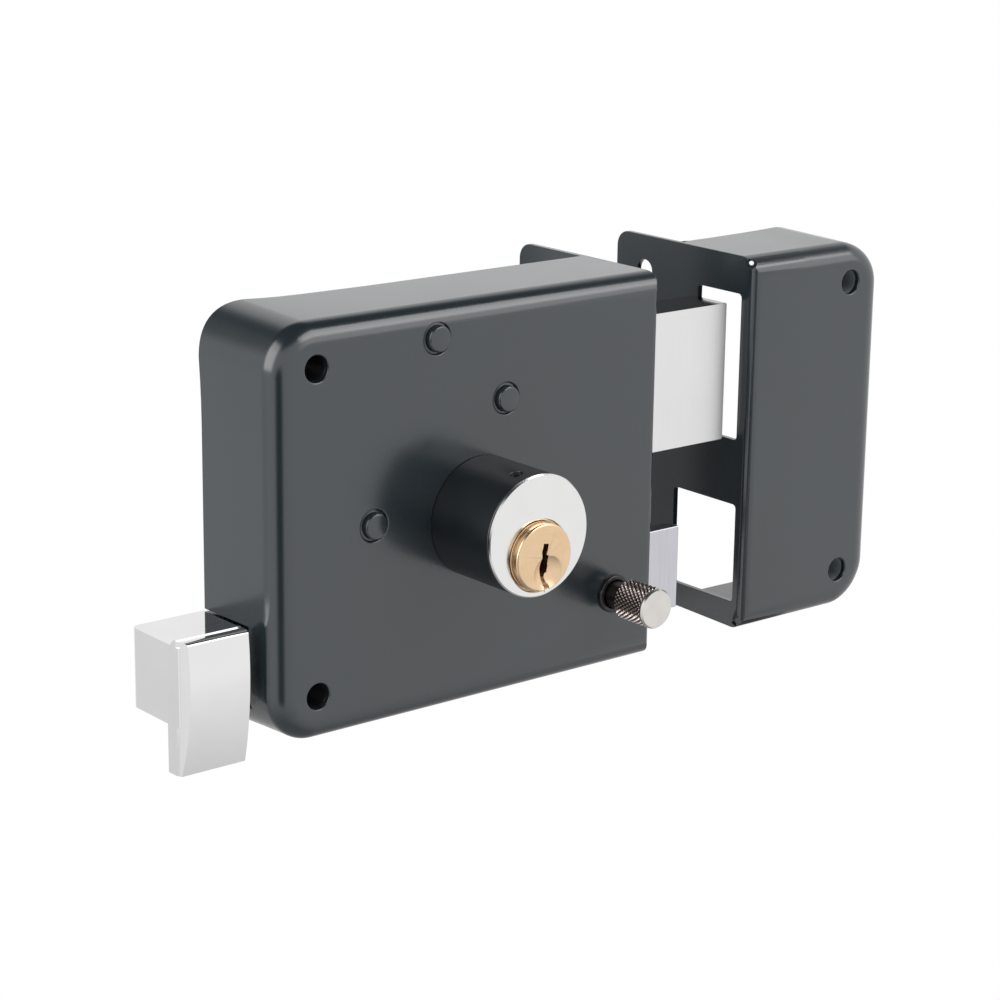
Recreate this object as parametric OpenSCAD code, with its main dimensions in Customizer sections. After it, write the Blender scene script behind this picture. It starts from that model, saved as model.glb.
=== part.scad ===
// Rim box lock: a pressed steel case with a deadbolt, a sprung latch and a key cylinder,
// and the strike box that stands beside it on the door frame.
// Sizes are in millimetres. The shapes are drawn from the outside of the case's door edge
// flange (x = 0), from the front of the case (y = 0) and from its bottom (z = 0). All of them
// are then moved so that the origin lies on the door, midway between the case's two screws.

/* [Case and strike sheet] */
// Width of the case, from its left wall to the outside of its flange
case_w = 112.5; // [110:0.5:120]
// Height of the case and of the strike
case_h = 96; // [95:0.5:110]
// Depth of the case and of the strike, from the front to the door
case_d = 28.2; // [27.8:0.1:34]
// Thickness of the pressed sheet
sheet_t = 1.5; // [1.2:0.1:1.8]
// Radius of the corners away from the flange, seen from the front
case_corner_r = 11; // [8:0.5:14]
// Radius of the rounded edge that runs around the front
front_edge_r = 3; // [2.5:0.1:4]
// Outside radius of the bend between the case's front and its flange
case_bend_r = 2.3; // [2:0.1:3]
// Outside radius of the bend between the strike's front and its flange
strike_bend_r = 3; // [2:0.1:4]
// How far each flange reaches behind the case, along the edge of the door
flange_reach = 23.5; // [20:0.5:30]
// Radius of the free corners of the flanges
flange_corner_r = 4; // [2:0.5:8]
// Radius of the relief holes at the two ends of each bend
relief_r = 1; // [0.6:0.1:1.4]
// Width of the strike
strike_w = 45; // [40:0.5:60]
// Distance between the case's flange and the strike's flange
door_gap = 31.6; // [31:0.2:40]

/* [Screw holes] */
// Diameter of the screw holes in the two fronts
screw_hole_d = 6.1; // [4.5:0.1:6.5]
// From the case's left wall to its screws
case_screw_side = 11.4; // [11:0.2:13]
// From the top and the bottom of the case to its screws
case_screw_end = 10.15; // [9.6:0.05:10.6]
// From the strike's right wall to its screws
strike_screw_side = 11; // [10:0.2:13]
// From the top and the bottom of the strike to its screws
strike_screw_end = 9.65; // [9:0.05:10.6]
// Wall of the tubes around the screws, between the front and the door
tube_wall = 1.45; // [1:0.05:1.6]
// Diameter of the screw holes in the flanges
edge_hole_d = 5.6; // [4:0.1:6]
// From the door to the screw holes in the flanges
edge_hole_back = 12.7; // [10:0.1:15]
// From the top and the bottom to the screw holes in the flanges
edge_hole_end = 9.2; // [8:0.1:12]

/* [Posts] */
// Radius of the three posts that join the front to the back plate
post_r = 3.1; // [2.8:0.05:3.2]
// How far the posts' riveted heads stand out of the front
rivet_head_h = 0.9; // [0.5:0.1:1.2]
// Radius of the posts' heads in the front
rivet_head_r = 3.15; // [2.9:0.05:4]
// Radius of the posts where they pass through the front
rivet_neck_r = 2; // [1.5:0.1:2.4]
// Diameter of the screws that hold the back plate
cover_screw_d = 3; // [2.5:0.1:3]
// Length of the screws that hold the back plate
cover_screw_len = 8; // [6:0.5:12]
// Width and depth of the slots in the heads of the screws
slot_w = 0.8; // [0.6:0.1:1]
slot_deep = 0.6; // [0.4:0.1:0.8]
// From the collar's axis to the post that guides the bolt's plate, to the right
guide_post_side = 7.4; // [7:0.1:8]
// From the upper edge of the bolt's plate down to that post
guide_post_drop = 6.2; // [5.5:0.1:6.5]
// From the collar's axis to the post that carries the lever, to the left
lever_post_side = 30.6; // [30:0.1:31]
// From the collar's axis to the post of the detent spring, to the left
detent_post_side = 12.9; // [12:0.1:13.5]
// From the upper edge of the bolt's plate up to that post
detent_post_rise = 10.5; // [10:0.1:11]
// Radius of the heads of those screws
cover_head_r = 2.8; // [2.5:0.1:3]

/* [Deadbolt] */
// Thickness of the deadbolt, from front to back
bolt_t = 12; // [11:0.1:12.5]
// From the top of the case down to the deadbolt
bolt_top = 11.7; // [11.5:0.1:13]
// From the bottom of the case to the deadbolt
bolt_z = 49.3; // [49:0.1:50]
// From the front of the case to the deadbolt
bolt_y = 6.65; // [6.6:0.05:7]
// How far the key moves the deadbolt
bolt_throw = 28; // [26:0.5:28]
// How far the deadbolt still stands out when it is drawn back
bolt_proud = 0.5; // [0.2:0.1:1.5]
// Length of the solid block
bolt_len = 40.5; // [38:0.5:41]
// Thickness of the plate behind the block that the key cylinder drives
tail_t = 3; // [2.5:0.1:3.2]
// From the block's lower edge up to the lower edge of the plate
tail_rise = 0.9; // [0.7:0.1:1.2]
// From the block's upper edge down to the upper edge of the plate
tail_fall = 6.3; // [5:0.1:7]
// How far the plate reaches to the left of the block
tail_reach = 42; // [40:0.5:42]
// How far the plate lies under the back of the block
tail_lap = 10; // [8:0.5:14]
// Radius of the rivets that hold the plate to the block
tail_rivet_r = 2; // [1.5:0.1:2.4]
// Thickness of the detent spring's wire
detent_wire = 0.8; // [0.6:0.1:1]
// Radius of the nub at the end of the detent spring
detent_nub_r = 1.2; // [1:0.1:1.4]
// How far the nub dips into the edge of the plate
detent_bite = 0.45; // [0.2:0.05:0.6]
// From the detent spring's post to its nub, to the right
detent_reach = 22.8; // [22:0.2:24]
// Length of the detent spring's other leg
detent_tail = 12; // [8:0.5:14]

/* [Latch] */
// How far the latch stands out of the flange
latch_out = 14.9; // [14.8:0.1:16]
// How far the latch can be drawn back
latch_throw = 14.5; // [12:0.5:14.5]
// From the front of the case to the latch
latch_y = 7; // [7:0.05:7.4]
// Thickness of the latch's full height lip
latch_lip_t = 4; // [3:0.1:5]
// Height of the lip
latch_h = 21.4; // [20:0.2:22]
// From the bottom of the case to the lip
latch_z = 7.4; // [7:0.1:8]
// From the lip's lower edge up to the bevelled body behind it
latch_body_rise = 2.1; // [1.5:0.1:2.5]
// Height of the bevelled body
latch_body_h = 16.5; // [15:0.1:17]
// Width of the flat on the latch's nose, before the bevel
latch_nose = 2.3; // [1.5:0.1:3.5]
// How far the latch reaches into the case behind the flange
latch_back = 16; // [15:0.5:17]
// Thickness of the slide plate behind the latch
slide_t = 2; // [1.6:0.1:2.2]
// Height of the slide plate
slide_h = 8.5; // [7:0.1:8.8]
// From the bottom of the case to the slide plate
slide_z = 16; // [15.6:0.1:16.4]
// Space between the slide plate and the back plate
slide_back_gap = 2.4; // [2:0.1:3]
// Radius of the rivets that hold the slide plate to the latch
slide_rivet_r = 1.6; // [1.2:0.1:1.8]

/* [Latch spring] */
// Radius of the rod inside the spring
rod_r = 1.6; // [1.2:0.1:1.8]
// From the front of the case to the rod
rod_y = 14; // [13.5:0.1:14.5]
// From the bottom of the case to the rod
rod_z = 18; // [17.5:0.1:18.5]
// Radius of the middle of the spring's wire around the rod
spring_r = 3.4; // [3:0.1:3.6]
// Radius of the spring's wire
spring_wire_r = 0.5; // [0.4:0.05:0.6]
// Number of curls
spring_curls = 12; // [8:1:12]
// Space for the spring between its bracket and the latch
spring_room = 32.5; // [30:0.5:34]
// Height of the bracket that the spring pushes against
bracket_h = 14; // [12:0.5:16]
// Length of the bracket's foot on the front
bracket_foot = 10; // [8:0.5:10]

/* [Pull] */
// Width of the pull's finger pad
pad_w = 17.4; // [14:0.2:20]
// Space between the finger pad and the case's left wall
pad_gap = 3; // [2:0.1:6]
// From the bottom of the case to the top of the pad
pad_top = 27.3; // [26.8:0.1:29]
// Height of the pad
pad_h = 31.8; // [26:0.2:36]
// From the front of the case to the foremost line of the pad
pad_y = 6; // [5:0.1:7]
// Radius of the pad's curved front
pad_curve_r = 91; // [80:1:150]
// From the top of the pad down to its foremost line
pad_crown = 10.5; // [8:0.5:14]
// Depth of the pad at its top
pad_top_t = 3.45; // [3:0.05:4.2]
// From the front of the case to the arm behind the pad
arm_y = 11.2; // [11:0.1:11.8]
// Height of the arm
arm_h = 18.9; // [17:0.1:19.5]
// From the bottom of the case to the arm
arm_z = 6.8; // [6:0.1:7]
// How far the arm reaches in past the outside of the case's left wall
arm_inside = 5; // [3:0.1:5.5]
// Radius of the arm's upper left edge
arm_edge_r = 1.7; // [1:0.1:3]
// Radius of the screw that joins the arm to the slide plate
pull_screw_r = 1.6; // [1.2:0.1:2]
// How far that screw reaches in front of the slide plate
pull_screw_in = 4; // [3:0.2:5]
// Radius and thickness of that screw's head
pull_head_r = 3; // [2.5:0.1:3.4]
pull_head_t = 1.5; // [1.2:0.1:1.8]
// From the arm's inner end to that screw
pull_screw_side = 9; // [8:0.5:10]
// How far the slide plate lies in the arm
slide_lap = 16.5; // [14:0.5:18]
// How far the pad's back leans away from its front, from the top to the bottom
pad_back_lean = 2; // [0:0.2:3]

/* [Key cylinder] */
// From the flange to the axis of the collar
cyl_side = 54.9; // [54.8:0.1:55.4]
// From the bottom of the case to the axis of the collar
cyl_z = 44.9; // [44.5:0.1:45]
// Outside radius of the collar and of the chrome face
collar_r = 14.44; // [14.2:0.02:15]
// How far the chrome face stands out of the front
collar_out = 21.36; // [20:0.1:26]
// Radius of the cylinder body inside the collar
body_r = 12.7; // [12.4:0.05:12.9]
// How far the cylinder body reaches behind the front of the case
body_in = 12; // [11:0.5:13]
// Visible thickness of the chrome face's rim
face_rim = 0.7; // [0.5:0.1:1.2]
// How far the chrome face is let into the collar
face_seat = 1.6; // [1.2:0.1:2]
// Radius of the part of the face that is let into the collar
face_seat_r = 13.4; // [13.2:0.05:13.6]
// From the collar's axis down to the axis of the plug
plug_drop = 4.65; // [4.4:0.05:4.7]
// Radius of the plug's brass head
plug_head_r = 8; // [7.6:0.1:8.2]
// Radius of the plug
plug_r = 6.4; // [6.2:0.05:6.45]
// How far the plug's head stands out of the chrome face
plug_out = 2.14; // [1:0.1:3]
// Radius of the plug's rear end
plug_end_r = 4; // [3.6:0.1:4.5]
// Outside radius of the nut that holds the cylinder in the case
nut_r = 17; // [15:0.1:17]
// Thickness of that nut
nut_t = 3.5; // [2.5:0.1:4.5]
// Number of pins
pin_count = 5; // [3:1:5]
// Distance from pin to pin
pin_pitch = 4; // [3.4:0.1:4]
// Radius of the pins
pin_r = 1.3; // [1:0.05:1.35]
// Length of the upper pins
driver_len = 3.5; // [3:0.1:4]
// Radius of the set screw in the collar
set_screw_r = 1.5; // [1:0.1:2]
// From the front of the case to the set screw
set_screw_out = 16.6; // [14:0.1:17]
// Angle of the set screw, to the left of the top
set_screw_turn = 12.4; // [12:0.2:40]

/* [Cam and lever] */
// Length of the cam's tongue from the plug's axis
cam_len = 17.5; // [17:0.1:17.6]
// Width of the tongue
cam_w = 4; // [3:0.1:4]
// Turn of the tongue from upright when the deadbolt is out
cam_rest = 55; // [54:0.5:56]
// Half the width of the notch that the tongue drives
notch_half = 5; // [4.8:0.1:5.4]
// Height of that notch in the plate
notch_h = 8.3; // [8.1:0.1:9]
// Thickness of the lever that draws the latch back
lever_t = 2.3; // [1.8:0.1:2.4]
// Length of the lever, from its post down to the pin of the slide plate
lever_len = 27; // [26:0.2:27.4]
// Width of the lever's arms
lever_w = 5.4; // [5:0.2:5.8]
// Wall of the lever around its post and beside its fork
lever_wall = 2.4; // [2:0.1:2.6]
// Radius of the pin that the lever's fork holds
fork_pin_r = 1.6; // [1.2:0.1:1.8]
// Radius of the nose pin that the tongue pushes
nose_pin_r = 1.5; // [1:0.1:1.8]
// Wall of the lever around the nose pin
nose_wall = 1.6; // [1.5:0.1:2]
// From the lever's post to the nose pin, to the right
nose_side = 14.6; // [14:0.1:15]
// From the lever's post down to the nose pin
nose_drop = 7.35; // [7:0.05:8]

/* [Hold-back button] */
// From the flange to the axis of the button
button_side = 13; // [12.9:0.1:13.2]
// From the bottom of the case to the axis of the button
button_z = 18; // [17:0.1:19]
// Radius of the knurled knob
knob_r = 4.7; // [4.2:0.1:6]
// Length of the knurled knob
knob_len = 10.5; // [8:0.5:14]
// How far the knob stands clear of the front
knob_clear = 5.5; // [5.5:0.1:8]
// Radius of the button's neck
neck_r = 3.4; // [2.8:0.05:3.4]
// Outside radius of the ring around the neck
ring_r = 5.3; // [5:0.1:6]
// How far the ring stands out of the front
ring_out = 1; // [0.6:0.1:1.4]
// How far the button can be pressed
button_travel = 4; // [3:0.1:4]

/* [Clearances] */
// Space between a sliding bolt and the sheet around it
slide_gap = 0.35; // [0.2:0.05:0.4]
// Space between a pin and the hole that turns on it
pivot_gap = 0.08; // [0.03:0.01:0.1]
// Space around a piece that is fixed in its hole
seat_gap = 0.03; // [0.01:0.01:0.05]
// Space between the fork and its pin, on each side
fork_gap = 0.6; // [0.5:0.05:0.8]
// Space between two pieces that pass over each other
pass_gap = 0.3; // [0.2:0.05:0.4]

/* [Hidden] */
$fn = 64;

// A cut runs this far past the face that it opens
over = 1;
// Chamfers that take the sharpness off an edge
edge_break = 0.4;

inner_y = sheet_t;
back_y = case_d - sheet_t;
screw_r = screw_hole_d / 2;
tube_r = screw_r + tube_wall;
case_screw_x = case_screw_side - case_w;
case_screw_zs = [case_screw_end, case_h - case_screw_end];
strike_screw_x = door_gap + strike_w - strike_screw_side;
strike_screw_zs = [strike_screw_end, case_h - strike_screw_end];
edge_hole_zs = [edge_hole_end, case_h - edge_hole_end];

// The key cylinder's places
cyl_x = -cyl_side;
plug_z = cyl_z - plug_drop;
plug_bore_r = plug_r + pivot_gap * 0.6;
plug_top = plug_z + plug_r;
face_y = -collar_out;
collar_y = face_y + face_rim;
seat_y = collar_y + face_seat;
head_back_y = face_y + face_rim + face_seat * 0.7;
head_bore_r = plug_head_r + 0.1;
clip_t = 0.9;
cam_y = bolt_y + bolt_t - tail_t;

// The deadbolt's places, with the bolt out
bolt_x = bolt_proud + bolt_throw;
block_x = bolt_x - bolt_len;
tail_x = block_x - tail_reach;
bolt_h = case_h - bolt_top - bolt_z;
tail_z = bolt_z + tail_rise;
tail_top = bolt_z + bolt_h - tail_fall;
tail_h = tail_top - tail_z;
tail_back_y = bolt_y + bolt_t;
notch_x = cyl_x + bolt_throw / 2;
tail_rivet_zs = [tail_z + tail_h * 0.25, tail_z + tail_h * 0.75];

// The posts: one above the bolt, one that guides the bolt's plate, one that carries the lever
guide_post = [cyl_x + guide_post_side, tail_top - guide_post_drop];
lever_post = [cyl_x - lever_post_side, plug_z + nose_drop];
detent_post = [cyl_x - detent_post_side, tail_top + detent_post_rise];
posts = [detent_post, guide_post, lever_post];
guide_slot_r = post_r + pass_gap;

// The latch's places, with the latch out
slide_y = back_y - slide_back_gap - slide_t;
latch_body_z = latch_z + latch_body_rise;
latch_x = -latch_back;
slide_x1 = -3;
arm_x0 = -case_w - pad_gap - pad_w;
arm_x1 = -case_w + arm_inside;
slide_x0 = arm_x1 - slide_lap;
slide_mid_z = slide_z + slide_h / 2;
bracket_x = latch_x - spring_room;
rod_len = spring_room + 14.5;
fork_pin = [lever_post[0], lever_post[1] - lever_len];
nose_pin = [lever_post[0] + nose_side, lever_post[1] - nose_drop];
lever_y = slide_y - 0.6 - lever_t;
fork_len = sqrt(lever_len * lever_len + latch_throw * latch_throw) + fork_pin_r + 0.2;
fork_half = fork_pin_r + fork_gap;

// The hold-back button's places, with the button out
button_x = -button_side;
rim_t = 0.6;
button_clip_t = 0.5;
button_clip_y = inner_y + rim_t + 0.05;
button_clip_r = neck_r + 0.8;
ring_bore_r = neck_r + 0.1;
lug_y = button_clip_y + button_clip_t + pass_gap + 0.05;
lug_x0 = button_x + button_clip_r + 0.4;
lug_x1 = button_x - button_clip_r - pass_gap + latch_throw;
lug_h = 10;

steel = [0.76, 0.77, 0.78];
chrome = [0.9, 0.91, 0.93];
paint = [0.24, 0.26, 0.27];
black = [0.1, 0.11, 0.12];
brass = [0.85, 0.7, 0.45];
zinc = [0.66, 0.68, 0.7];

// Moves a shape from the case's own corner to the middle of the case screws, on the door
module place() {
    translate([-case_screw_x, -case_d, -case_h / 2]) children();
}

// Thickens an outline drawn in x and z, from y0 to y1
module slab(y0, y1) {
    translate([0, y1, 0]) rotate([90, 0, 0]) linear_extrude(height = y1 - y0) children();
}

// Thickens an outline drawn in y and z, from x0 to x1
module along_x(x0, x1) {
    translate([x0, 0, 0]) rotate([90, 0, 90]) linear_extrude(height = x1 - x0) children();
}

// Thickens an outline drawn in x and y, from z0 to z1
module along_z(z0, z1) {
    translate([0, 0, z0]) linear_extrude(height = z1 - z0) children();
}

module block(low, high) {
    translate(low) cube(high - low);
}

// A round bar from front to back, at a place given in x and z
module bar(at, r, y0, y1) {
    translate([at[0], y1, at[1]]) rotate([90, 0, 0]) cylinder(r = r, h = y1 - y0);
}

// A round bar that changes its radius from front to back
module taper(at, r0, r1, y0, y1) {
    translate([at[0], y1, at[1]]) rotate([90, 0, 0]) cylinder(r1 = r1, r2 = r0, h = y1 - y0);
}

module tube(at, r, bore, y0, y1) {
    difference() {
        bar(at, r, y0, y1);
        bar(at, bore, y0 - over, y1 + over);
    }
}

// A rectangle with all four corners round
module round_rect(low, high, r) {
    size = high - low;
    translate([low[0] + r, low[1]]) square([size[0] - 2 * r, size[1]]);
    translate([low[0], low[1] + r]) square([size[0], size[1] - 2 * r]);
    for (x = [low[0] + r, high[0] - r], y = [low[1] + r, high[1] - r]) {
        translate([x, y]) circle(r = r);
    }
}

// A straight bar of one width between two points of an outline
module strip(from, to, width) {
    reach = to - from;
    translate(from) rotate(atan2(reach[1], reach[0])) {
        translate([0, -width / 2]) square([norm(reach), width]);
    }
}

// A rectangle from x = -w to 0 and from z = 0 to h, with its two left corners round
module left_round(w, h, r) {
    translate([r - w, 0]) square([w - r, h]);
    translate([-w, r]) square([w, h - 2 * r]);
    for (z = [r, h - r]) translate([r - w, z]) circle(r = r);
}

// The quarter of a disc that rounds an edge, with its square corner at the origin
module quarter(r) {
    intersection() {
        circle(r = r);
        square(r);
    }
}

// A block with a rounded front edge on its left, its top and its bottom, round corners on
// the left, and a bend on the right
module drawn_block(w, h, d, corner, edge, bend) {
    intersection() {
        union() {
            slab(edge, d) left_round(w, h, corner);
            translate([0, 0, edge]) slab(0, edge) left_round(w - edge, h - 2 * edge, corner - edge);
            translate([edge - w, edge, corner]) linear_extrude(height = h - 2 * corner) {
                rotate(180) quarter(edge);
            }
            along_x(corner - w, 0) {
                translate([edge, edge]) rotate(180) quarter(edge);
                translate([edge, h - edge]) rotate(90) quarter(edge);
            }
            for (top = [0, 1]) {
                translate([corner - w, edge, top == 1 ? h - corner : corner]) {
                    rotate([90, 0, 0]) rotate([0, 0, top == 1 ? 90 : 180]) {
                        rotate_extrude(angle = 90) translate([corner - edge, 0]) quarter(edge);
                    }
                }
            }
        }
        along_z(-over, h + over) {
            translate([-bend, bend]) circle(r = bend);
            translate([-w - over, 0]) square([w + over - bend, d + over]);
            translate([-w - over, bend]) square([w + over, d + over]);
        }
    }
}

// A pressed box that is open at the back, with a flange that runs on past it on the right
module pressed_box(w, bend) {
    difference() {
        union() {
            drawn_block(w, case_h, case_d, case_corner_r, front_edge_r, bend);
            along_x(-sheet_t, 0) {
                reach = case_d + flange_reach;
                translate([bend, 0]) square([reach - flange_corner_r - bend, case_h]);
                translate([bend, flange_corner_r]) {
                    square([reach - bend, case_h - 2 * flange_corner_r]);
                }
                for (z = [flange_corner_r, case_h - flange_corner_r]) {
                    translate([reach - flange_corner_r, z]) circle(r = flange_corner_r);
                }
            }
        }
        translate([-sheet_t, sheet_t, sheet_t]) {
            drawn_block(w - 2 * sheet_t, case_h - 2 * sheet_t, case_d, case_corner_r - sheet_t,
                front_edge_r - sheet_t, bend - sheet_t);
        }
        for (z = [relief_r, case_h - relief_r]) {
            translate([-bend / 3, bend / 3, z]) rotate([0, 90, -45]) {
                cylinder(r = relief_r, h = 3 * bend, center = true);
            }
        }
        for (z = edge_hole_zs) {
            translate([-sheet_t - over, case_d + edge_hole_back, z]) rotate([0, 90, 0]) {
                cylinder(r = edge_hole_d / 2, h = sheet_t + 2 * over);
            }
        }
    }
}

module case_shell() {
    color(paint) place() difference() {
        pressed_box(case_w, case_bend_r);
        for (z = case_screw_zs) bar([case_screw_x, z], screw_r, -over, sheet_t + over);
        for (p = posts) bar(p, rivet_neck_r, -over, sheet_t + over);
        bar([cyl_x, cyl_z], body_r + 0.1, -over, sheet_t + over);
        bar([button_x, button_z], ring_shank_r(), -over, sheet_t + over);
        // the doorways of the two bolts in the flange
        along_x(-sheet_t - over, over) {
            round_rect([bolt_y - slide_gap, bolt_z - slide_gap],
                [bolt_y + bolt_t + slide_gap, bolt_z + bolt_h + slide_gap], 0.5);
            round_rect([latch_y - slide_gap, latch_z - slide_gap],
                [slide_y + slide_gap, latch_z + latch_h + slide_gap], 0.5);
        }
        // the doorway of the pull in the left wall, open to the back
        block([-case_w - over, arm_y - slide_gap, arm_z - slide_gap],
            [-case_w + sheet_t + case_corner_r / 4, case_d + over, arm_z + arm_h + slide_gap]);
    }
}

module back_plate() {
    color(zinc) place() difference() {
        slab(back_y, case_d) translate([-sheet_t - 0.1, sheet_t + 0.1]) {
            left_round(case_w - 2 * sheet_t - 0.2, case_h - 2 * sheet_t - 0.2,
                case_corner_r - sheet_t);
        }
        for (z = case_screw_zs) bar([case_screw_x, z], screw_r, back_y - over, case_d + over);
        for (p = posts) {
            bar(p, cover_screw_d / 2 + 0.1, back_y - over, case_d + over);
            taper(p, cover_screw_d / 2, cover_head_r + 0.1, back_y, case_d + 0.01);
        }
        // the notch that the pull's arm stands in
        block([-case_w, back_y - over, arm_z - slide_gap],
            [arm_x1 + slide_gap, case_d + over, arm_z + arm_h + slide_gap]);
    }
}

module cover_screws() {
    color(zinc) place() for (p = posts) difference() {
        union() {
            bar(p, cover_screw_d / 2, case_d - cover_screw_len, case_d);
            taper(p, cover_screw_d / 2, cover_head_r, back_y + 0.1, case_d);
        }
        // the slot for the screwdriver
        block([p[0] - cover_head_r - over, case_d - slot_deep, p[1] - slot_w / 2],
            [p[0] + cover_head_r + over, case_d + over, p[1] + slot_w / 2]);
    }
}

module case_screw_tubes() {
    color(zinc) place() for (z = case_screw_zs) {
        tube([case_screw_x, z], tube_r, screw_r, inner_y, back_y);
    }
}

module front_posts() {
    color(paint) place() for (p = posts) difference() {
        union() {
            bar(p, rivet_head_r, -rivet_head_h + edge_break, 0);
            taper(p, rivet_head_r - edge_break, rivet_head_r, -rivet_head_h, edge_break - rivet_head_h);
            bar(p, rivet_neck_r - seat_gap, -edge_break, inner_y + edge_break);
            bar(p, post_r, inner_y, back_y);
        }
        bar(p, cover_screw_d / 2 + seat_gap, case_d - cover_screw_len - over, back_y + over);
    }
}

// A channel that is welded to the front and holds the deadbolt from above and below
module bolt_guide() {
    leg = 2;
    x0 = notch_x + notch_half - 0.1;
    x1 = -6;
    z0 = bolt_z - slide_gap - leg;
    z1 = bolt_z + bolt_h + slide_gap + leg;
    color(zinc) place() guide_channel(x0, x1, z0, z1, leg);
}

module guide_channel(x0, x1, z0, z1, leg) {
    block([x0, inner_y, z0], [x1, inner_y + sheet_t, z1]);
    block([x0, inner_y, z0], [x1, tail_back_y, z0 + leg]);
    block([x0, inner_y, z1 - leg], [x1, tail_back_y, z1]);
}

// Where the detent spring's nub rests in the upper edge of the bolt's plate
detent_nub = [detent_post[0] + detent_reach, tail_top + detent_nub_r - detent_bite];
detent_ring_r = post_r + pivot_gap + detent_wire;

// A flat spring that turns round a post and holds the deadbolt where the key leaves it
module bolt_detent_spring() {
    wire_mid = detent_ring_r - detent_wire / 2;
    color(steel) place() slab(cam_y, tail_back_y) difference() {
        union() {
            translate(detent_post) circle(r = detent_ring_r);
            strip(detent_post - [0, wire_mid], detent_nub, detent_wire);
            translate(detent_nub) circle(r = detent_nub_r);
            strip(detent_post + [0, wire_mid],
                [detent_post[0] - detent_tail, case_h - sheet_t - detent_wire], detent_wire);
        }
        translate(detent_post) circle(r = post_r + pivot_gap);
    }
}

module spring_bracket() {
    z0 = rod_z - bracket_h / 2;
    z1 = rod_z + bracket_h / 2;
    color(zinc) place() difference() {
        union() {
            block([bracket_x - sheet_t, inner_y, z0], [bracket_x, rod_y + 5, z1]);
            block([bracket_x - bracket_foot, inner_y, z0], [bracket_x, inner_y + sheet_t, z1]);
        }
        translate([bracket_x - sheet_t - over, rod_y, rod_z]) rotate([0, 90, 0]) {
            cylinder(r = rod_r + 0.2, h = sheet_t + 2 * over);
        }
    }
}

function ring_shank_r() = ring_bore_r + 1.1;

module button_ring() {
    at = [button_x, button_z];
    color(zinc) place() difference() {
        union() {
            taper(at, ring_r - edge_break, ring_r, -ring_out, edge_break - ring_out);
            bar(at, ring_r, edge_break - ring_out, 0);
            bar(at, ring_shank_r() - seat_gap, -edge_break, inner_y + edge_break);
            bar(at, ring_r, inner_y, inner_y + rim_t);
        }
        bar(at, ring_bore_r, -ring_out - over, inner_y + rim_t + over);
    }
}

module lever_clips() {
    color(steel) place() {
        tube(lever_post, post_r + 1.2, post_r, lever_y - 0.6, lever_y - 0.1);
        tube(lever_post, post_r + 1.2, post_r, lever_y + lever_t + 0.1, lever_y + lever_t + 0.6);
    }
}

module cylinder_collar() {
    at = [cyl_x, cyl_z];
    color(black) place() difference() {
        bar(at, collar_r, collar_y, 0);
        bar(at, body_r + seat_gap, collar_y - over, over);
        bar(at, face_seat_r + seat_gap, collar_y - over, seat_y);
        set_screw_path(set_screw_r + seat_gap, body_r - over, collar_r + over);
    }
}

// A round path that runs out from the collar's axis, where the set screw sits
module set_screw_path(r, from, to) {
    translate([cyl_x, -set_screw_out, cyl_z]) rotate([0, -set_screw_turn, 0]) {
        translate([0, 0, from]) cylinder(r = r, h = to - from);
    }
}

module collar_set_screw() {
    recess = 0.5;
    color(steel) place() difference() {
        set_screw_path(set_screw_r, body_r - 1.2, collar_r - recess);
        set_screw_path(set_screw_r * 0.55, collar_r - recess - 0.9, collar_r + over, $fn = 6);
    }
}

// The depth of each pin behind the front of the case
pin_ys = [for (i = [0 : pin_count - 1]) -13 + i * pin_pitch];
chamber_r = pin_r + 0.05;
shear_z = plug_top + 0.15;
cover_z = cyl_z + body_r - 1.7;
cover_t = 1.2;
cover_half = 2.1;
pin_ends_y = [pin_ys[0] - chamber_r - 0.45, pin_ys[pin_count - 1] + chamber_r + 0.45];

module chamber(y, z0, z1, r) {
    translate([cyl_x, y, z0]) cylinder(r = r, h = z1 - z0);
}

module cylinder_body() {
    at = [cyl_x, cyl_z];
    plug_at = [cyl_x, plug_z];
    rim = 0.3;
    color(chrome) place() difference() {
        union() {
            taper(at, collar_r - rim, collar_r, face_y, face_y + rim);
            bar(at, collar_r, face_y + rim, collar_y);
            bar(at, face_seat_r, collar_y - rim, seat_y);
            bar(at, body_r, seat_y - rim, body_in);
        }
        bar(plug_at, plug_bore_r, face_y - over, body_in + over);
        bar(plug_at, head_bore_r, face_y - over, head_back_y);
        taper(plug_at, head_bore_r + 0.6, head_bore_r, face_y - 0.01, face_y + 0.6);
        for (y = pin_ys) chamber(y, plug_z + plug_r - over, cyl_z + body_r + over, chamber_r);
        block([cyl_x - cover_half - seat_gap, pin_ends_y[0] - seat_gap, cover_z],
            [cyl_x + cover_half + seat_gap, pin_ends_y[1] + seat_gap, cyl_z + body_r + over]);
        set_screw_path(set_screw_r + seat_gap, body_r - 1.25, collar_r);
    }
}

module cylinder_nut() {
    at = [cyl_x, cyl_z];
    color(zinc) place() difference() {
        tube(at, nut_r, body_r + seat_gap, inner_y, inner_y + nut_t);
        // the notches for the spanner
        for (a = [0 : 90 : 270]) translate([at[0], inner_y + nut_t, at[1]]) rotate([0, a, 0]) {
            translate([nut_r - 1.5, -1.5, -2]) cube([3, 3, 4]);
        }
    }
}

module driver_pins() {
    color(brass) place() for (y = pin_ys) chamber(y, shear_z, shear_z + driver_len, pin_r);
}

module pin_cover() {
    color(brass) place() {
        block([cyl_x - cover_half, pin_ends_y[0], cover_z],
            [cyl_x + cover_half, pin_ends_y[1], cover_z + cover_t]);
    }
}

// One unbroken wire around the z axis, from z = 0 to the given length
coil_rings = 8;
coil_sides = 6;

function coil_middle(i, r, wire, length, curls) = [
    r * cos(360 * i / coil_rings),
    r * sin(360 * i / coil_rings),
    wire + (length - 2 * wire) * i / (curls * coil_rings)
];

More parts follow.
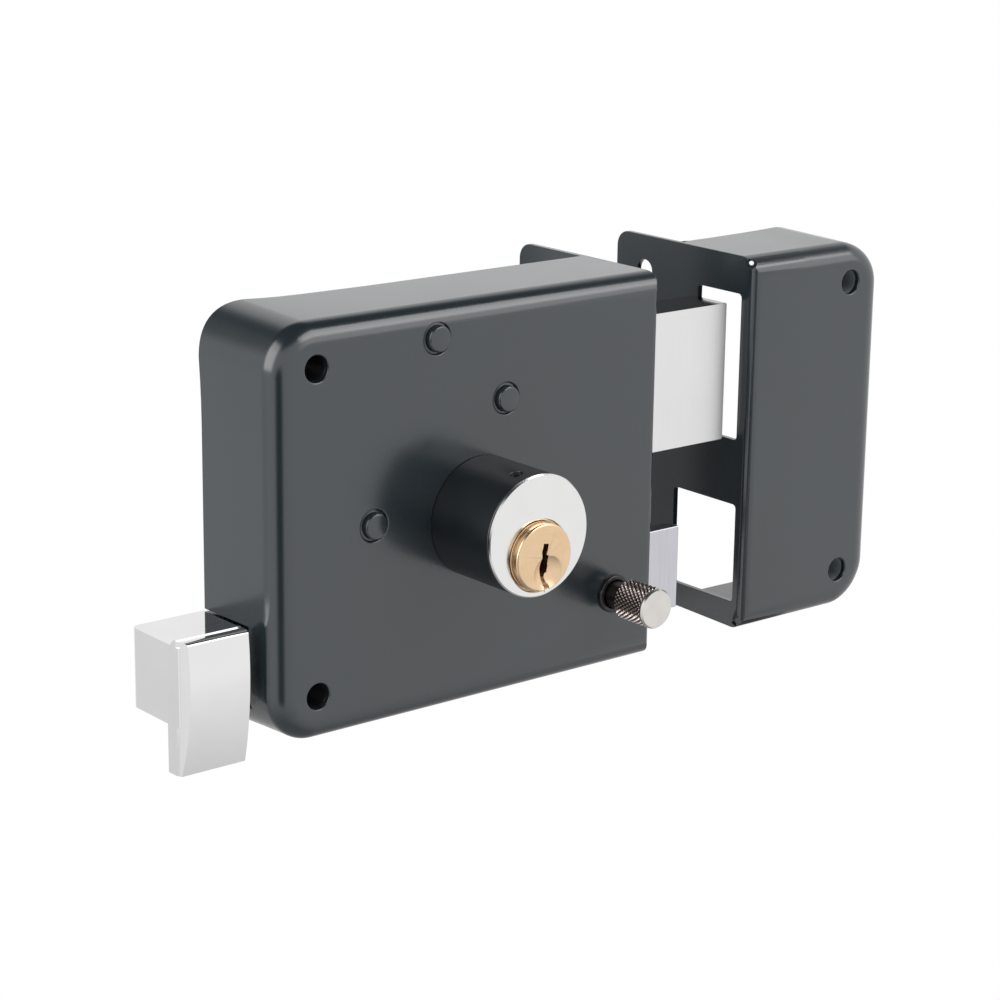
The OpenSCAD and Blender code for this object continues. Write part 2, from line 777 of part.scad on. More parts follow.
function coil_point(i, j, r, wire, length, curls) =
    let (
        a = 360 * i / coil_rings,
        b = 360 * j / coil_sides,
        climb = (length - 2 * wire) / curls / (2 * PI * r),
        up = [sin(a) * climb, -cos(a) * climb, 1] / sqrt(1 + climb * climb)
    )
    coil_middle(i, r, wire, length, curls)
        + wire * cos(b) * [cos(a), sin(a), 0] + wire * sin(b) * up;

// The least space between a curl and the next one, measured from wire to wire
function coil_gap(r, wire, length, curls) = min([
    for (i = [0 : (curls - 1) * coil_rings])
        norm(coil_middle(i + coil_rings, r, wire, length, curls)
            - coil_middle(i, r, wire, length, curls))
]) - 2 * wire;

module wire_coil(r, wire, length, curls) {
    last = curls * coil_rings;
    points = [
        for (i = [0 : last], j = [0 : coil_sides - 1]) coil_point(i, j, r, wire, length, curls)
    ];
    sides = [
        for (i = [0 : last - 1], j = [0 : coil_sides - 1], half = [0, 1])
            let (
                a = i * coil_sides + j,
                b = i * coil_sides + (j + 1) % coil_sides
            )
            half == 0 ? [a, b, b + coil_sides] : [a, b + coil_sides, a + coil_sides]
    ];
    first_end = [for (j = [1 : coil_sides - 2]) [0, j + 1, j]];
    last_end = [
        for (j = [1 : coil_sides - 2])
            [last * coil_sides, last * coil_sides + j, last * coil_sides + j + 1]
    ];
    echo(least_gap = coil_gap(r, wire, length, curls));
    polyhedron(points = points, faces = concat(first_end, sides, last_end));
}

module driver_springs() {
    wire = 0.2;
    z0 = shear_z + driver_len + 0.05;
    length = cover_z - 0.05 - z0;
    color(steel) place() for (y = pin_ys) translate([cyl_x, y, z0]) {
        wire_coil(pin_r - 0.35, wire, length, 5);
    }
}

module latch_spring() {
    room_end = 0.15;
    color(steel) place() translate([bracket_x + room_end, rod_y, rod_z]) rotate([0, 90, 0]) {
        wire_coil(spring_r, spring_wire_r, spring_room - 2 * room_end, spring_curls);
    }
}

// Space between the strike's doorways and the two bolts that enter them
strike_bolt_side = 1.85;
strike_bolt_below = 0.5;
strike_bolt_above = 2;
strike_latch_front = 2.8;
strike_latch_rear = 4.8;
strike_latch_below = 1.2;
strike_latch_above = 3.1;

module strike_shell() {
    color(paint) place() difference() {
        translate([door_gap, 0, 0]) mirror([1, 0, 0]) pressed_box(strike_w, strike_bend_r);
        for (z = strike_screw_zs) bar([strike_screw_x, z], screw_r, -over, sheet_t + over);
        along_x(door_gap - over, door_gap + sheet_t + over) {
            round_rect([bolt_y - strike_bolt_side, bolt_z - strike_bolt_below],
                [bolt_y + bolt_t + strike_bolt_side, bolt_z + bolt_h + strike_bolt_above], 1);
            round_rect([latch_y - strike_latch_front, latch_z - strike_latch_below],
                [slide_y + strike_latch_rear, latch_z + latch_h + strike_latch_above], 1);
        }
    }
}

module strike_screw_tubes() {
    color(zinc) place() for (z = strike_screw_zs) {
        tube([strike_screw_x, z], tube_r, screw_r, inner_y, case_d);
    }
}

module deadbolt_block() {
    color(steel) place() difference() {
        along_x(block_x, bolt_x) {
            round_rect([bolt_y, bolt_z], [bolt_y + bolt_t, bolt_z + bolt_h], edge_break);
        }
        // the step that the driven plate lies in
        block([block_x - over, cam_y, bolt_z - over],
            [block_x + tail_lap, tail_back_y + over, bolt_z + bolt_h + over]);
        for (z = tail_rivet_zs) {
            bar([block_x + tail_lap / 2, z], tail_rivet_r + seat_gap, bolt_y + 4, tail_back_y);
        }
    }
}

module deadbolt_tail() {
    guide_x1 = guide_post[0] + bolt_throw;
    color(steel) place() slab(cam_y, tail_back_y) difference() {
        round_rect([tail_x, tail_z], [block_x + tail_lap, tail_top], 1.5);
        // the slot that slides on the guide post
        for (x = [guide_post[0], guide_x1]) {
            translate([x, guide_post[1]]) circle(r = guide_slot_r);
        }
        translate([guide_post[0], guide_post[1] - guide_slot_r]) {
            square([bolt_throw, 2 * guide_slot_r]);
        }
        // the notch that the cam's tongue drives
        translate([notch_x - notch_half, tail_z - over]) square([2 * notch_half, notch_h + over]);
        // the two rests of the detent spring
        for (x = [detent_nub[0], detent_nub[0] + bolt_throw]) {
            translate([x, detent_nub[1]]) circle(r = detent_nub_r + pass_gap);
        }
        for (z = tail_rivet_zs) {
            translate([block_x + tail_lap / 2, z]) circle(r = tail_rivet_r + seat_gap);
        }
    }
}

module deadbolt_rivets() {
    head = 0.6;
    color(zinc) place() for (z = tail_rivet_zs) {
        bar([block_x + tail_lap / 2, z], tail_rivet_r, bolt_y + 4.2, tail_back_y + head / 2);
        bar([block_x + tail_lap / 2, z], tail_rivet_r + 1, tail_back_y, tail_back_y + head);
    }
}

// The outline of the key slot, around the plug's axis
key_slot = [
    [-0.2, 3.4], [1.1, 3.4], [0.6, 0.8], [1.3, 0.4], [1.2, -0.4], [0.8, -0.6], [0.7, -3.1],
    [-0.1, -3.6], [0.3, -5.6], [1.9, -6.3], [2, -9], [-0.3, -9], [-0.3, -6.6], [-1.4, -3.6],
    [-1.6, -2.6], [-0.5, -1.8], [-0.8, -0.6]
];
key_pin_base = 0.85;
square_half = 2.6;

module cylinder_plug() {
    at = [cyl_x, plug_z];
    front_y = face_y - plug_out;
    chamfer = 0.5;
    color(brass) place() difference() {
        union() {
            taper(at, plug_head_r - chamfer, plug_head_r, front_y, front_y + chamfer);
            bar(at, plug_head_r, front_y + chamfer, head_back_y - 0.1);
            bar(at, plug_r, head_back_y - 1, body_in + 0.1);
            bar(at, plug_end_r, body_in, cam_y);
            block([cyl_x - square_half, cam_y - over, plug_z - square_half],
                [cyl_x + square_half, tail_back_y, plug_z + square_half]);
        }
        // the key slot, and the dish around its lower half that leads the key in
        slab(front_y - over, pin_ends_y[1]) translate(at) polygon(key_slot);
        translate([cyl_x + 0.4, front_y - 1.6, plug_z - 3.2]) sphere(r = 4.2, $fn = 48);
        for (y = pin_ys) chamber(y, plug_z + key_pin_base, plug_top + over, chamber_r);
        // the groove of the clip, and the thread of the cam's screw
        tube(at, plug_end_r + over, plug_end_r - 0.6, body_in + 0.1, body_in + 0.2 + clip_t);
        bar(at, cover_screw_d / 2 + seat_gap, body_in + 0.5, tail_back_y + over);
    }
}

module key_pins() {
    color(brass) place() for (i = [0 : pin_count - 1]) {
        tip = 0.7;
        base = plug_z + key_pin_base + 0.1 + 0.35 * ((i * 2) % 5);
        chamber(pin_ys[i], base + tip, plug_top - 0.15, pin_r);
        translate([cyl_x, pin_ys[i], base]) cylinder(r1 = pin_r - tip, r2 = pin_r, h = tip);
    }
}

module plug_clip() {
    color(steel) place() {
        tube([cyl_x, plug_z], plug_r + 1.1, plug_end_r - 0.6, body_in + 0.15, body_in + 0.15 + clip_t);
    }
}

module cam_tongue() {
    tip_r = cam_w / 2;
    reach = cam_len - tip_r;
    color(zinc) place() slab(cam_y, tail_back_y) translate([cyl_x, plug_z]) {
        difference() {
            union() {
                circle(r = 5.5);
                strip([0, 0], reach * [sin(cam_rest), cos(cam_rest)], cam_w);
                translate(reach * [sin(cam_rest), cos(cam_rest)]) circle(r = tip_r);
            }
            square(2 * (square_half + seat_gap), center = true);
        }
    }
}

module cam_screw() {
    at = [cyl_x, plug_z];
    head = 0.6;
    color(steel) place() {
        bar(at, cover_screw_d / 2, body_in + 0.7, tail_back_y + head / 2);
        bar(at, 4, tail_back_y, tail_back_y + head);
    }
}

// The latch is a full height lip with a bevelled body behind it
module latch_bolt() {
    body_y = latch_y + latch_lip_t;
    bevel_y = latch_y + latch_nose;
    run = slide_y - bevel_y;
    profile = [
        [latch_x, latch_y], [latch_out, latch_y], [latch_out, bevel_y],
        [latch_out - run, slide_y], [latch_x, slide_y]
    ];
    color(steel) place() difference() {
        union() {
            intersection() {
                along_z(latch_z, latch_z + latch_h) polygon(profile);
                block([latch_x, latch_y, latch_z], [latch_out, body_y, latch_z + latch_h]);
            }
            along_z(latch_body_z, latch_body_z + latch_body_h) polygon(profile);
            // the lug that the pressed hold-back button stands beside
            block([lug_x0, lug_y, button_z - lug_h / 2],
                [lug_x1, latch_y + over, button_z + lug_h / 2]);
        }
        translate([latch_x - over, rod_y, rod_z]) rotate([0, 90, 0]) {
            cylinder(r = rod_r + seat_gap, h = 7 + over);
        }
        for (x = latch_rivet_xs) {
            bar([x, slide_mid_z], slide_rivet_r + seat_gap, slide_y - 5.2, slide_y + over);
        }
    }
}

latch_rivet_xs = [latch_x + 4, latch_x + 11];

module latch_slide() {
    color(steel) place() difference() {
        slab(slide_y, slide_y + slide_t) {
            translate([slide_x0, slide_z]) square([slide_x1 - slide_x0, slide_h]);
        }
        for (x = latch_rivet_xs) {
            bar([x, slide_mid_z], slide_rivet_r + seat_gap, slide_y - over, slide_y + slide_t + over);
        }
        bar(fork_pin, fork_pin_r + seat_gap, slide_y - over, slide_y + slide_t + over);
        bar([pull_screw_x, slide_mid_z], pull_screw_r + 0.1, slide_y - over, slide_y + slide_t + over);
    }
}

module latch_slide_rivets() {
    head = 0.8;
    color(zinc) place() for (x = latch_rivet_xs) {
        bar([x, slide_mid_z], slide_rivet_r, slide_y - 5, slide_y + slide_t + head / 2);
        bar([x, slide_mid_z], slide_rivet_r + 1, slide_y + slide_t, slide_y + slide_t + head);
    }
}

module fork_pin() {
    color(zinc) place() bar(fork_pin, fork_pin_r, lever_y - 0.2, slide_y + slide_t);
}

module spring_rod() {
    color(steel) place() translate([latch_x + 6.8 - rod_len, rod_y, rod_z]) rotate([0, 90, 0]) {
        cylinder(r = rod_r, h = rod_len);
    }
}

pull_screw_x = arm_x1 - pull_screw_side;

// The pull is one casting: an arm that is flush with the back of the case, and a finger pad
module pull_handle() {
    pad_bottom = pad_top - pad_h;
    pad_cut_z = pad_top - pad_crown;
    color(chrome) place() difference() {
        union() {
            along_x(arm_x0, arm_x0 + pad_w) intersection() {
                polygon([
                    [pad_y - over, pad_bottom], [pad_y - over, pad_top],
                    [pad_y + 0.6 + pad_top_t, pad_top],
                    [pad_y + 0.6 + pad_top_t + pad_back_lean, pad_bottom]
                ]);
                translate([pad_y + pad_curve_r, pad_cut_z]) circle(r = pad_curve_r, $fn = 256);
            }
            slab(pad_y + 3, case_d) {
                translate([arm_x0, arm_z]) square([arm_x1 - arm_x0, arm_h - arm_edge_r]);
                translate([arm_x0 + arm_edge_r, arm_z]) square([arm_x1 - arm_x0 - arm_edge_r, arm_h]);
                translate([arm_x0 + arm_edge_r, arm_z + arm_h - arm_edge_r]) circle(r = arm_edge_r);
            }
        }
        // the arm is narrower than the pad from its back on
        block([arm_x0 + pad_w, pad_y, arm_z - over], [arm_x1 + over, arm_y, arm_z + arm_h + over]);
        block([slide_x0 - 0.1, slide_y - 0.1, slide_z - 0.1],
            [arm_x1 + over, slide_y + slide_t + 0.1, slide_z + slide_h + 0.1]);
        bar([pull_screw_x, slide_mid_z], pull_screw_r + 0.1, slide_y - pull_screw_in,
            case_d + over);
        taper([pull_screw_x, slide_mid_z], pull_screw_r + 0.1, pull_head_r + 0.2,
            case_d - pull_head_t, case_d + 0.01);
    }
}

module pull_screw() {
    at = [pull_screw_x, slide_mid_z];
    color(zinc) place() difference() {
        union() {
            bar(at, pull_screw_r, slide_y - pull_screw_in + seat_gap, case_d - 0.1);
            taper(at, pull_screw_r, pull_head_r, case_d - pull_head_t, case_d - 0.1);
        }
        block([at[0] - pull_head_r - over, case_d - slot_deep - 0.1, at[1] - slot_w / 2],
            [at[0] + pull_head_r + over, case_d + over, at[1] + slot_w / 2]);
    }
}

module latch_lever() {
    fork_end = lever_post - [0, fork_len];
    fork_top = fork_pin + [0, fork_half + lever_wall];
    color(zinc) place() slab(lever_y, lever_y + lever_t) difference() {
        union() {
            translate(lever_post) circle(r = post_r + lever_wall);
            strip(lever_post, fork_top, lever_w);
            strip(fork_top, fork_end, 2 * (fork_half + lever_wall));
            strip(lever_post, nose_pin, lever_w);
            translate(nose_pin) circle(r = nose_pin_r + nose_wall);
        }
        translate(lever_post) circle(r = post_r + pivot_gap);
        translate(nose_pin) circle(r = nose_pin_r + seat_gap);
        translate(fork_pin + [0, 0.4]) circle(r = fork_half);
        translate([fork_pin[0] - fork_half, fork_end[1] - over]) {
            square([2 * fork_half, fork_pin[1] + 0.4 - fork_end[1] + over]);
        }
    }
}

module lever_nose_pin() {
    color(zinc) place() bar(nose_pin, nose_pin_r, cam_y + 0.3, lever_y + lever_t);
}

stud_r = 1.5;
stud_len = 6;

module button_knob() {
    at = [button_x, button_z];
    y0 = -knob_clear - knob_len;
    chamfer = 0.6;
    color(chrome) place() difference() {
        union() {
            taper(at, knob_r - chamfer, knob_r, y0, y0 + chamfer);
            bar(at, knob_r, y0 + chamfer, -knob_clear - edge_break);
            taper(at, knob_r, knob_r - edge_break, -knob_clear - edge_break, -knob_clear);
        }
        bar(at, stud_r + seat_gap, -knob_clear - stud_len - 0.2, over);
    }
}

module button_spindle() {
    at = [button_x, button_z];
    color(steel) place() {
        bar(at, stud_r, -knob_clear - stud_len, over - knob_clear);
        bar(at, neck_r, -knob_clear, button_clip_y - pivot_gap);
        bar(at, neck_r - 1, 0, button_clip_y + button_clip_t + 0.1);
    }
}

module button_clip() {
    color(steel) place() {
        tube([button_x, button_z], button_clip_r, neck_r - 1 + seat_gap, button_clip_y,
            button_clip_y + button_clip_t);
    }
}

case_shell();
back_plate();
cover_screws();
case_screw_tubes();
front_posts();
bolt_guide();
bolt_detent_spring();
spring_bracket();
button_ring();
lever_clips();
cylinder_collar();
cylinder_body();
cylinder_nut();
collar_set_screw();
driver_pins();
driver_springs();
pin_cover();
strike_shell();
strike_screw_tubes();
deadbolt_block();
deadbolt_tail();
deadbolt_rivets();
cylinder_plug();
key_pins();
plug_clip();
cam_tongue();
cam_screw();
latch_bolt();
latch_slide();
latch_slide_rivets();
fork_pin();
spring_rod();
pull_handle();
pull_screw();
latch_spring();
latch_lever();
lever_nose_pin();
button_knob();
button_spindle();
button_clip();
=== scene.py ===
# %% [markdown]
# # A rim box lock, dressed for its photograph
# The lock is already built as plain solids in their true sizes and places. This lesson
# loads them as a fixed frame, models the parts whose edges and textures the eye rests on,
# and gives every part a finish of its own. Nothing here moves a part: each new piece stands
# where the solid that it stands for was. Its sizes stay too, but for small ones that only
# show from near: the covers' rims flare a little, the rivets' heads stand out further, and
# the knob is a little thicker and its ring a little thinner.

# %% Load the frame
import math

import bmesh
import bpy
from mathutils import Matrix, Vector


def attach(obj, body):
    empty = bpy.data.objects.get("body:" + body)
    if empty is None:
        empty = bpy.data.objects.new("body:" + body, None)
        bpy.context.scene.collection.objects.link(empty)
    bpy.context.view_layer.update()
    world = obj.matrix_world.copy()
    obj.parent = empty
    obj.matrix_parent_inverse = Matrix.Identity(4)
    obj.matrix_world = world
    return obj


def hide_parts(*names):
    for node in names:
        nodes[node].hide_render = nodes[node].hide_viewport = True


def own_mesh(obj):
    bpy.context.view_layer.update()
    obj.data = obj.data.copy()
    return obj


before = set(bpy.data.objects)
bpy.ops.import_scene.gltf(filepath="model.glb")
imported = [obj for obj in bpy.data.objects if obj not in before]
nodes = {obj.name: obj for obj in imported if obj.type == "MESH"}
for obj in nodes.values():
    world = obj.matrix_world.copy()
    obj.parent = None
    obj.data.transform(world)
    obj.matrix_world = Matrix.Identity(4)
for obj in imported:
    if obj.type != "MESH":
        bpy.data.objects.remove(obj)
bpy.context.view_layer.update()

# %% [markdown]
# ## Places in the lock's own drawing
# The lock was drawn in millimetres from the corner of its case: x from the outside of the
# flange, y from the front of the case towards the door, z from its bottom. Blender works in
# metres around the middle of the case's screws. One helper turns the first into the second,
# so every size below can be read off the real lock with a ruler. The round parts all have
# their axis along y, so an axis is given by its x and z.

# %% From the drawing to the frame
DRAWING_ORIGIN = Vector((101.1, -28.2, -48.0))
CYLINDER, PLUG, KNOB = (-54.9, 44.9), (-54.9, 40.25), (-13, 18)


def place(x, y, z):
    """A place in the drawing, in millimetres, as a place in the frame, in metres."""
    return (Vector((x, y, z)) + DRAWING_ORIGIN) / 1000


def drawn(spot):
    """The other way round: a place in the frame as millimetres in the drawing."""
    return spot * 1000 - DRAWING_ORIGIN


def on_axis(axis, y=0):
    """The place on a round part's axis at some depth."""
    return place(axis[0], y, axis[1])


print("the cylinder's axis meets the case's front at", on_axis(CYLINDER)[:])

# %% [markdown]
# ## Working by hand, from a script
# An operator works on whatever is selected, and loading the frame left every solid
# selected. So each piece starts with nothing selected, from one primitive. Edges and faces
# are then picked by where they lie, in place of clicking on them.

# %% Start a piece and pick its edges
def only(piece):
    """Selects one piece alone, and makes it the one that operators work on."""
    bpy.ops.object.select_all(action="DESELECT")
    piece.select_set(True)
    bpy.context.view_layer.objects.active = piece


def start_block(name, low, high):
    """A block between two corners of the drawing, its place already in its mesh."""
    bpy.ops.object.select_all(action="DESELECT")
    corners = [sorted(pair) for pair in zip(low, high)]
    low, high = place(*[c[0] for c in corners]), place(*[c[1] for c in corners])
    bpy.ops.mesh.primitive_cube_add(size=1, location=(low + high) / 2)
    block = bpy.context.object
    block.scale = high - low
    bpy.ops.object.transform_apply()
    block.name = name
    return block


def start_rod(name, start, end, radius, sides=64):
    """A round rod between two places of the drawing."""
    bpy.ops.object.select_all(action="DESELECT")
    start, end = place(*start), place(*end)
    bpy.ops.mesh.primitive_cylinder_add(
        vertices=sides, radius=radius / 1000, depth=(end - start).length,
        location=(start + end) / 2, rotation=(end - start).to_track_quat("Z", "Y").to_euler())
    rod = bpy.context.object
    bpy.ops.object.transform_apply()
    rod.name = name
    return rod


def pick(piece, kind, wanted):
    """Selects the edges or faces of a piece whose corners all pass a test, in edit mode."""
    only(piece)
    bpy.ops.object.mode_set(mode="EDIT")
    bpy.ops.mesh.select_mode(type=kind)
    bpy.ops.mesh.select_all(action="DESELECT")
    mesh = bmesh.from_edit_mesh(piece.data)
    found = 0
    for part in mesh.edges if kind == "EDGE" else mesh.faces:
        if wanted([drawn(corner.co) for corner in part.verts]):
            part.select_set(True)
            found += 1
    bmesh.update_edit_mesh(piece.data)
    return found


def done():
    bpy.ops.object.mode_set(mode="OBJECT")


def near(a, b):
    return abs(a - b) < 0.01


def round_edges(piece, wanted, radius, steps):
    """Rounds the picked edges, as a file or a press tool would."""
    pick(piece, "EDGE", wanted)
    bpy.ops.mesh.bevel(offset=radius / 1000, segments=steps, affect="EDGES", clamp_overlap=False)
    done()


# %% [markdown]
# ## Cutting, joining and softening
# Holes and doorways are cut with modifiers, as a punch would cut them, and applied at once.
# No pressed, turned or cast edge is perfectly sharp, and it's the thin highlight along an
# edge that makes metal look like metal. So each piece ends with a narrow bevel wherever two
# faces meet at an angle, and with normals that lean towards its large flat faces.

# %% Cut and soften
def apply_modifier(piece, kind, **settings):
    only(piece)
    modifier = piece.modifiers.new(kind.lower(), kind)
    for key, value in settings.items():
        setattr(modifier, key, value)
    bpy.ops.object.modifier_apply(modifier=modifier.name)


def combine(piece, tool, operation="DIFFERENCE"):
    """Cuts a piece with a tool, or joins the two, and clears the tool away."""
    apply_modifier(piece, "BOOLEAN", object=tool, operation=operation, solver="EXACT")
    bpy.data.objects.remove(tool)


def soften(piece, width, steps=2, angle=35):
    """A narrow bevel on every edge, then smooth shading that keeps flat faces flat."""
    apply_modifier(piece, "BEVEL", width=width / 1000, segments=steps, limit_method="ANGLE",
                   angle_limit=math.radians(angle), use_clamp_overlap=False)
    smooth(piece, angle)


def smooth(piece, angle=35):
    only(piece)
    bpy.ops.object.shade_smooth_by_angle(angle=math.radians(angle))
    apply_modifier(piece, "WEIGHTED_NORMAL", keep_sharp=True)


# %% [markdown]
# Two kinds of piece start as a single point that is drawn out to a chain of edges. Round
# parts are turned: the chain is half an outline, spun once round its axis, which runs from
# front to back like every round part of this lock. The key slot is pushed: the chain is a
# whole outline, filled and extruded along y.

# %% Turn a piece, or push an outline
def draw_chain(name, start, steps):
    """Starts a piece as one point and draws it out step by step, and stays in edit mode."""
    bpy.ops.object.select_all(action="DESELECT")
    bpy.ops.mesh.primitive_plane_add(size=0.001, location=start)
    chain = bpy.context.object
    bpy.ops.object.transform_apply()
    chain.name = name
    bpy.ops.object.mode_set(mode="EDIT")
    bpy.ops.mesh.select_mode(type="VERT")
    bpy.ops.mesh.merge(type="CENTER")
    for step in steps:
        bpy.ops.mesh.extrude_region_move(TRANSFORM_OT_translate={"value": step})
    bpy.ops.mesh.select_all(action="SELECT")
    return chain


def turned(name, axis, outline, steps=96):
    """Spins a chain of (radius, y) points round an axis, all in millimetres."""
    piece = draw_chain(name, place(axis[0] + outline[0][0], outline[0][1], axis[1]), [
        ((r1 - r0) / 1000, (y1 - y0) / 1000, 0)
        for (r0, y0), (r1, y1) in zip(outline, outline[1:])])
    bpy.ops.mesh.spin(steps=steps, angle=2 * math.pi, center=on_axis(axis), axis=(0, 1, 0))
    bpy.ops.mesh.select_all(action="SELECT")
    bpy.ops.mesh.remove_doubles(threshold=2e-6)
    bpy.ops.mesh.normals_make_consistent(inside=False)
    done()
    return piece


def pushed_outline(name, axis, outline, y0, y1):
    """Extrudes a closed outline of (x, z) points around an axis from one depth to another."""
    piece = draw_chain(name, place(axis[0] + outline[0][0], y0, axis[1] + outline[0][1]), [
        ((x1 - x0) / 1000, 0, (z1 - z0) / 1000)
        for (x0, z0), (x1, z1) in zip(outline, outline[1:])])
    bpy.ops.mesh.edge_face_add()
    bpy.ops.mesh.extrude_region_move(TRANSFORM_OT_translate={"value": (0, (y1 - y0) / 1000, 0)})
    bpy.ops.mesh.select_all(action="SELECT")
    bpy.ops.mesh.normals_make_consistent(inside=False)
    done()
    return piece


def arc(r, y, radius, start, end, steps=6):
    """Points on an arc around (r, y), from one angle to another, in degrees."""
    turn = [math.radians(start + (end - start) * i / steps) for i in range(steps + 1)]
    return [(r + radius * math.cos(a), y + radius * math.sin(a)) for a in turn]


# %% [markdown]
# ## The shared effects
# Real finishes are never one flat colour. Five small effects are made once as node groups
# and then mixed into the materials in different amounts: the faint skin of a sprayed paint,
# the straight grain of a ground face, the rings that a lathe leaves, painted shade that
# darkens a knurl's grooves, and soft patches where a surface was handled or plated
# unevenly. All of them read the object's own coordinates in metres, so a pattern keeps its
# real size and moves with its part.

# %% Helpers for nodes
def add_node(tree, kind, sockets=None, **settings):
    made = tree.nodes.new("ShaderNode" + kind)
    for key, value in settings.items():
        setattr(made, key, value)
    for key, value in (sockets or {}).items():
        if isinstance(value, bpy.types.NodeSocket):
            tree.links.new(value, made.inputs[key])
        else:
            made.inputs[key].default_value = value
    return made


def new_effect(name, inputs):
    """An empty effect with named inputs, which always starts with where the surface is."""
    group = bpy.data.node_groups.new(name, "ShaderNodeTree")
    for label, value in {"Place": (0, 0, 0), **inputs}.items():
        kind = "NodeSocketVector" if hasattr(value, "__len__") else "NodeSocketFloat"
        socket = group.interface.new_socket(label, in_out="INPUT", socket_type=kind)
        socket.default_value = value
    group.interface.new_socket("Amount", in_out="OUTPUT", socket_type="NodeSocketFloat")
    given = group.nodes.new("NodeGroupInput").outputs
    return group, given, group.nodes.new("NodeGroupOutput").inputs


# %% Paint skin: two sizes of low bumps, as sprayed paint dries
paint_skin, given, result = new_effect("paint_skin", {"Scale": 900.0})
coarse = add_node(paint_skin, "TexNoise", {
    "Vector": given["Place"], "Scale": given["Scale"], "Detail": 2.0})
finer = add_node(paint_skin, "Math", {0: given["Scale"], 1: 3.1}, operation="MULTIPLY")
fine = add_node(paint_skin, "TexNoise", {
    "Vector": given["Place"], "Scale": finer.outputs[0], "Detail": 1.0})
both = add_node(paint_skin, "Math", {0: fine.outputs[0], 1: 0.35, 2: coarse.outputs[0]},
                operation="MULTIPLY_ADD")
paint_skin.links.new(both.outputs[0], result["Amount"])

# %% Grain: noise drawn out along one direction, as a belt grinder leaves it
grain, given, result = new_effect("grain", {"Stretch": (6000.0, 6000.0, 60.0)})
drawn_out = add_node(grain, "VectorMath", {0: given["Place"], 1: given["Stretch"]},
                     operation="MULTIPLY")
streaks = add_node(grain, "TexNoise", {
    "Vector": drawn_out.outputs[0], "Scale": 1.0, "Detail": 3.0, "Roughness": 0.65})
grain.links.new(streaks.outputs[0], result["Amount"])


# %% Lathe rings: noise that only changes with the distance from an axis and along it
def away_from_axis(group, given):
    """The way to a place from an axis along y, and how long it is across that axis."""
    away = add_node(group, "VectorMath", {0: given["Place"], 1: given["Centre"]},
                    operation="SUBTRACT")
    flat = add_node(group, "VectorMath", {0: away.outputs[0], 1: (1, 0, 1)},
                    operation="MULTIPLY")
    radius = add_node(group, "VectorMath", {0: flat.outputs[0]}, operation="LENGTH")
    return away.outputs[0], radius.outputs["Value"]


lathe_rings, given, result = new_effect("lathe_rings", {
    "Centre": (0.0, 0.0, 0.0), "Fineness": 5000.0})
away, radius = away_from_axis(lathe_rings, given)
along = add_node(lathe_rings, "SeparateXYZ", {0: away})
ring_place = add_node(lathe_rings, "CombineXYZ", {0: radius, 1: along.outputs[1]})
rings = add_node(lathe_rings, "TexNoise", {
    "Vector": ring_place.outputs[0], "Scale": given["Fineness"], "Detail": 2.0})
lathe_rings.links.new(rings.outputs[0], result["Amount"])

# %% Groove shade: 0 low in a drum's grooves and 1 at its full radius, to paint shade there
groove_shade, given, result = new_effect("groove_shade", {
    "Centre": (0.0, 0.0, 0.0), "Low": 0.0043, "High": 0.0046})
away, radius = away_from_axis(groove_shade, given)
clean = add_node(groove_shade, "MapRange", {
    "Value": radius, "From Min": given["Low"], "From Max": given["High"]})
groove_shade.links.new(clean.outputs[0], result["Amount"])

# %% Soft patches: large pale clouds with soft borders
soft_patches, given, result = new_effect("soft_patches", {"Scale": 60.0})
cloud = add_node(soft_patches, "TexNoise", {
    "Vector": given["Place"], "Scale": given["Scale"], "Detail": 2.0, "Distortion": 0.3})
spread = add_node(soft_patches, "MapRange", {
    "Value": cloud.outputs[0], "From Min": 0.15, "From Max": 0.85}, clamp=True)
soft_patches.links.new(spread.outputs[0], result["Amount"])
print(len(bpy.data.node_groups), "effects")


# %% [markdown]
# ## The finishes
# Each finish is one Principled shader. A colour pair is mixed by the soft patches, the
# roughness is varied a little by the same patches, and one of the other effects gives the
# bump. The amounts are small, because a new lock is clean, yet without them the large dark
# faces look like plastic film.

# %% One recipe for every finish
def new_finish(name, dark, light, rough, effect, effect_inputs, bump=0.0, metal=1.0,
               patches=60.0, streak=0.0, specular=0.5):
    """Mixes two colours by soft patches; an effect gives bumps, and streaks where asked."""
    finish = bpy.data.materials.new(name)
    finish.use_nodes = True
    tree = finish.node_tree
    shader = tree.nodes["Principled BSDF"]
    spot = add_node(tree, "TexCoord").outputs["Object"]
    cloud = add_node(tree, "Group", node_tree=soft_patches)
    tree.links.new(spot, cloud.inputs["Place"])
    cloud.inputs["Scale"].default_value = patches
    tone = cloud.outputs["Amount"]
    marks = add_node(tree, "Group", node_tree=effect)
    tree.links.new(spot, marks.inputs["Place"])
    for key, value in effect_inputs.items():
        marks.inputs[key].default_value = value
    height = add_node(tree, "Bump", {
        "Height": marks.outputs["Amount"], "Strength": bump, "Distance": 0.0001})
    tree.links.new(height.outputs[0], shader.inputs["Normal"])
    if streak:
        tone = add_node(tree, "Mix", {0: streak, 2: tone, 3: marks.outputs["Amount"]}).outputs[0]
    colour = add_node(tree, "Mix", {0: tone, 6: (*dark, 1), 7: (*light, 1)}, data_type="RGBA")
    tree.links.new(colour.outputs[2], shader.inputs["Base Color"])
    polish = add_node(tree, "MapRange", {"Value": tone, "To Min": rough[0], "To Max": rough[1]})
    tree.links.new(polish.outputs[0], shader.inputs["Roughness"])
    shader.inputs["Metallic"].default_value = metal
    shader.inputs["Specular IOR Level"].default_value = specular
    return finish


def scaled(colour, by):
    return tuple(channel * by for channel in colour)


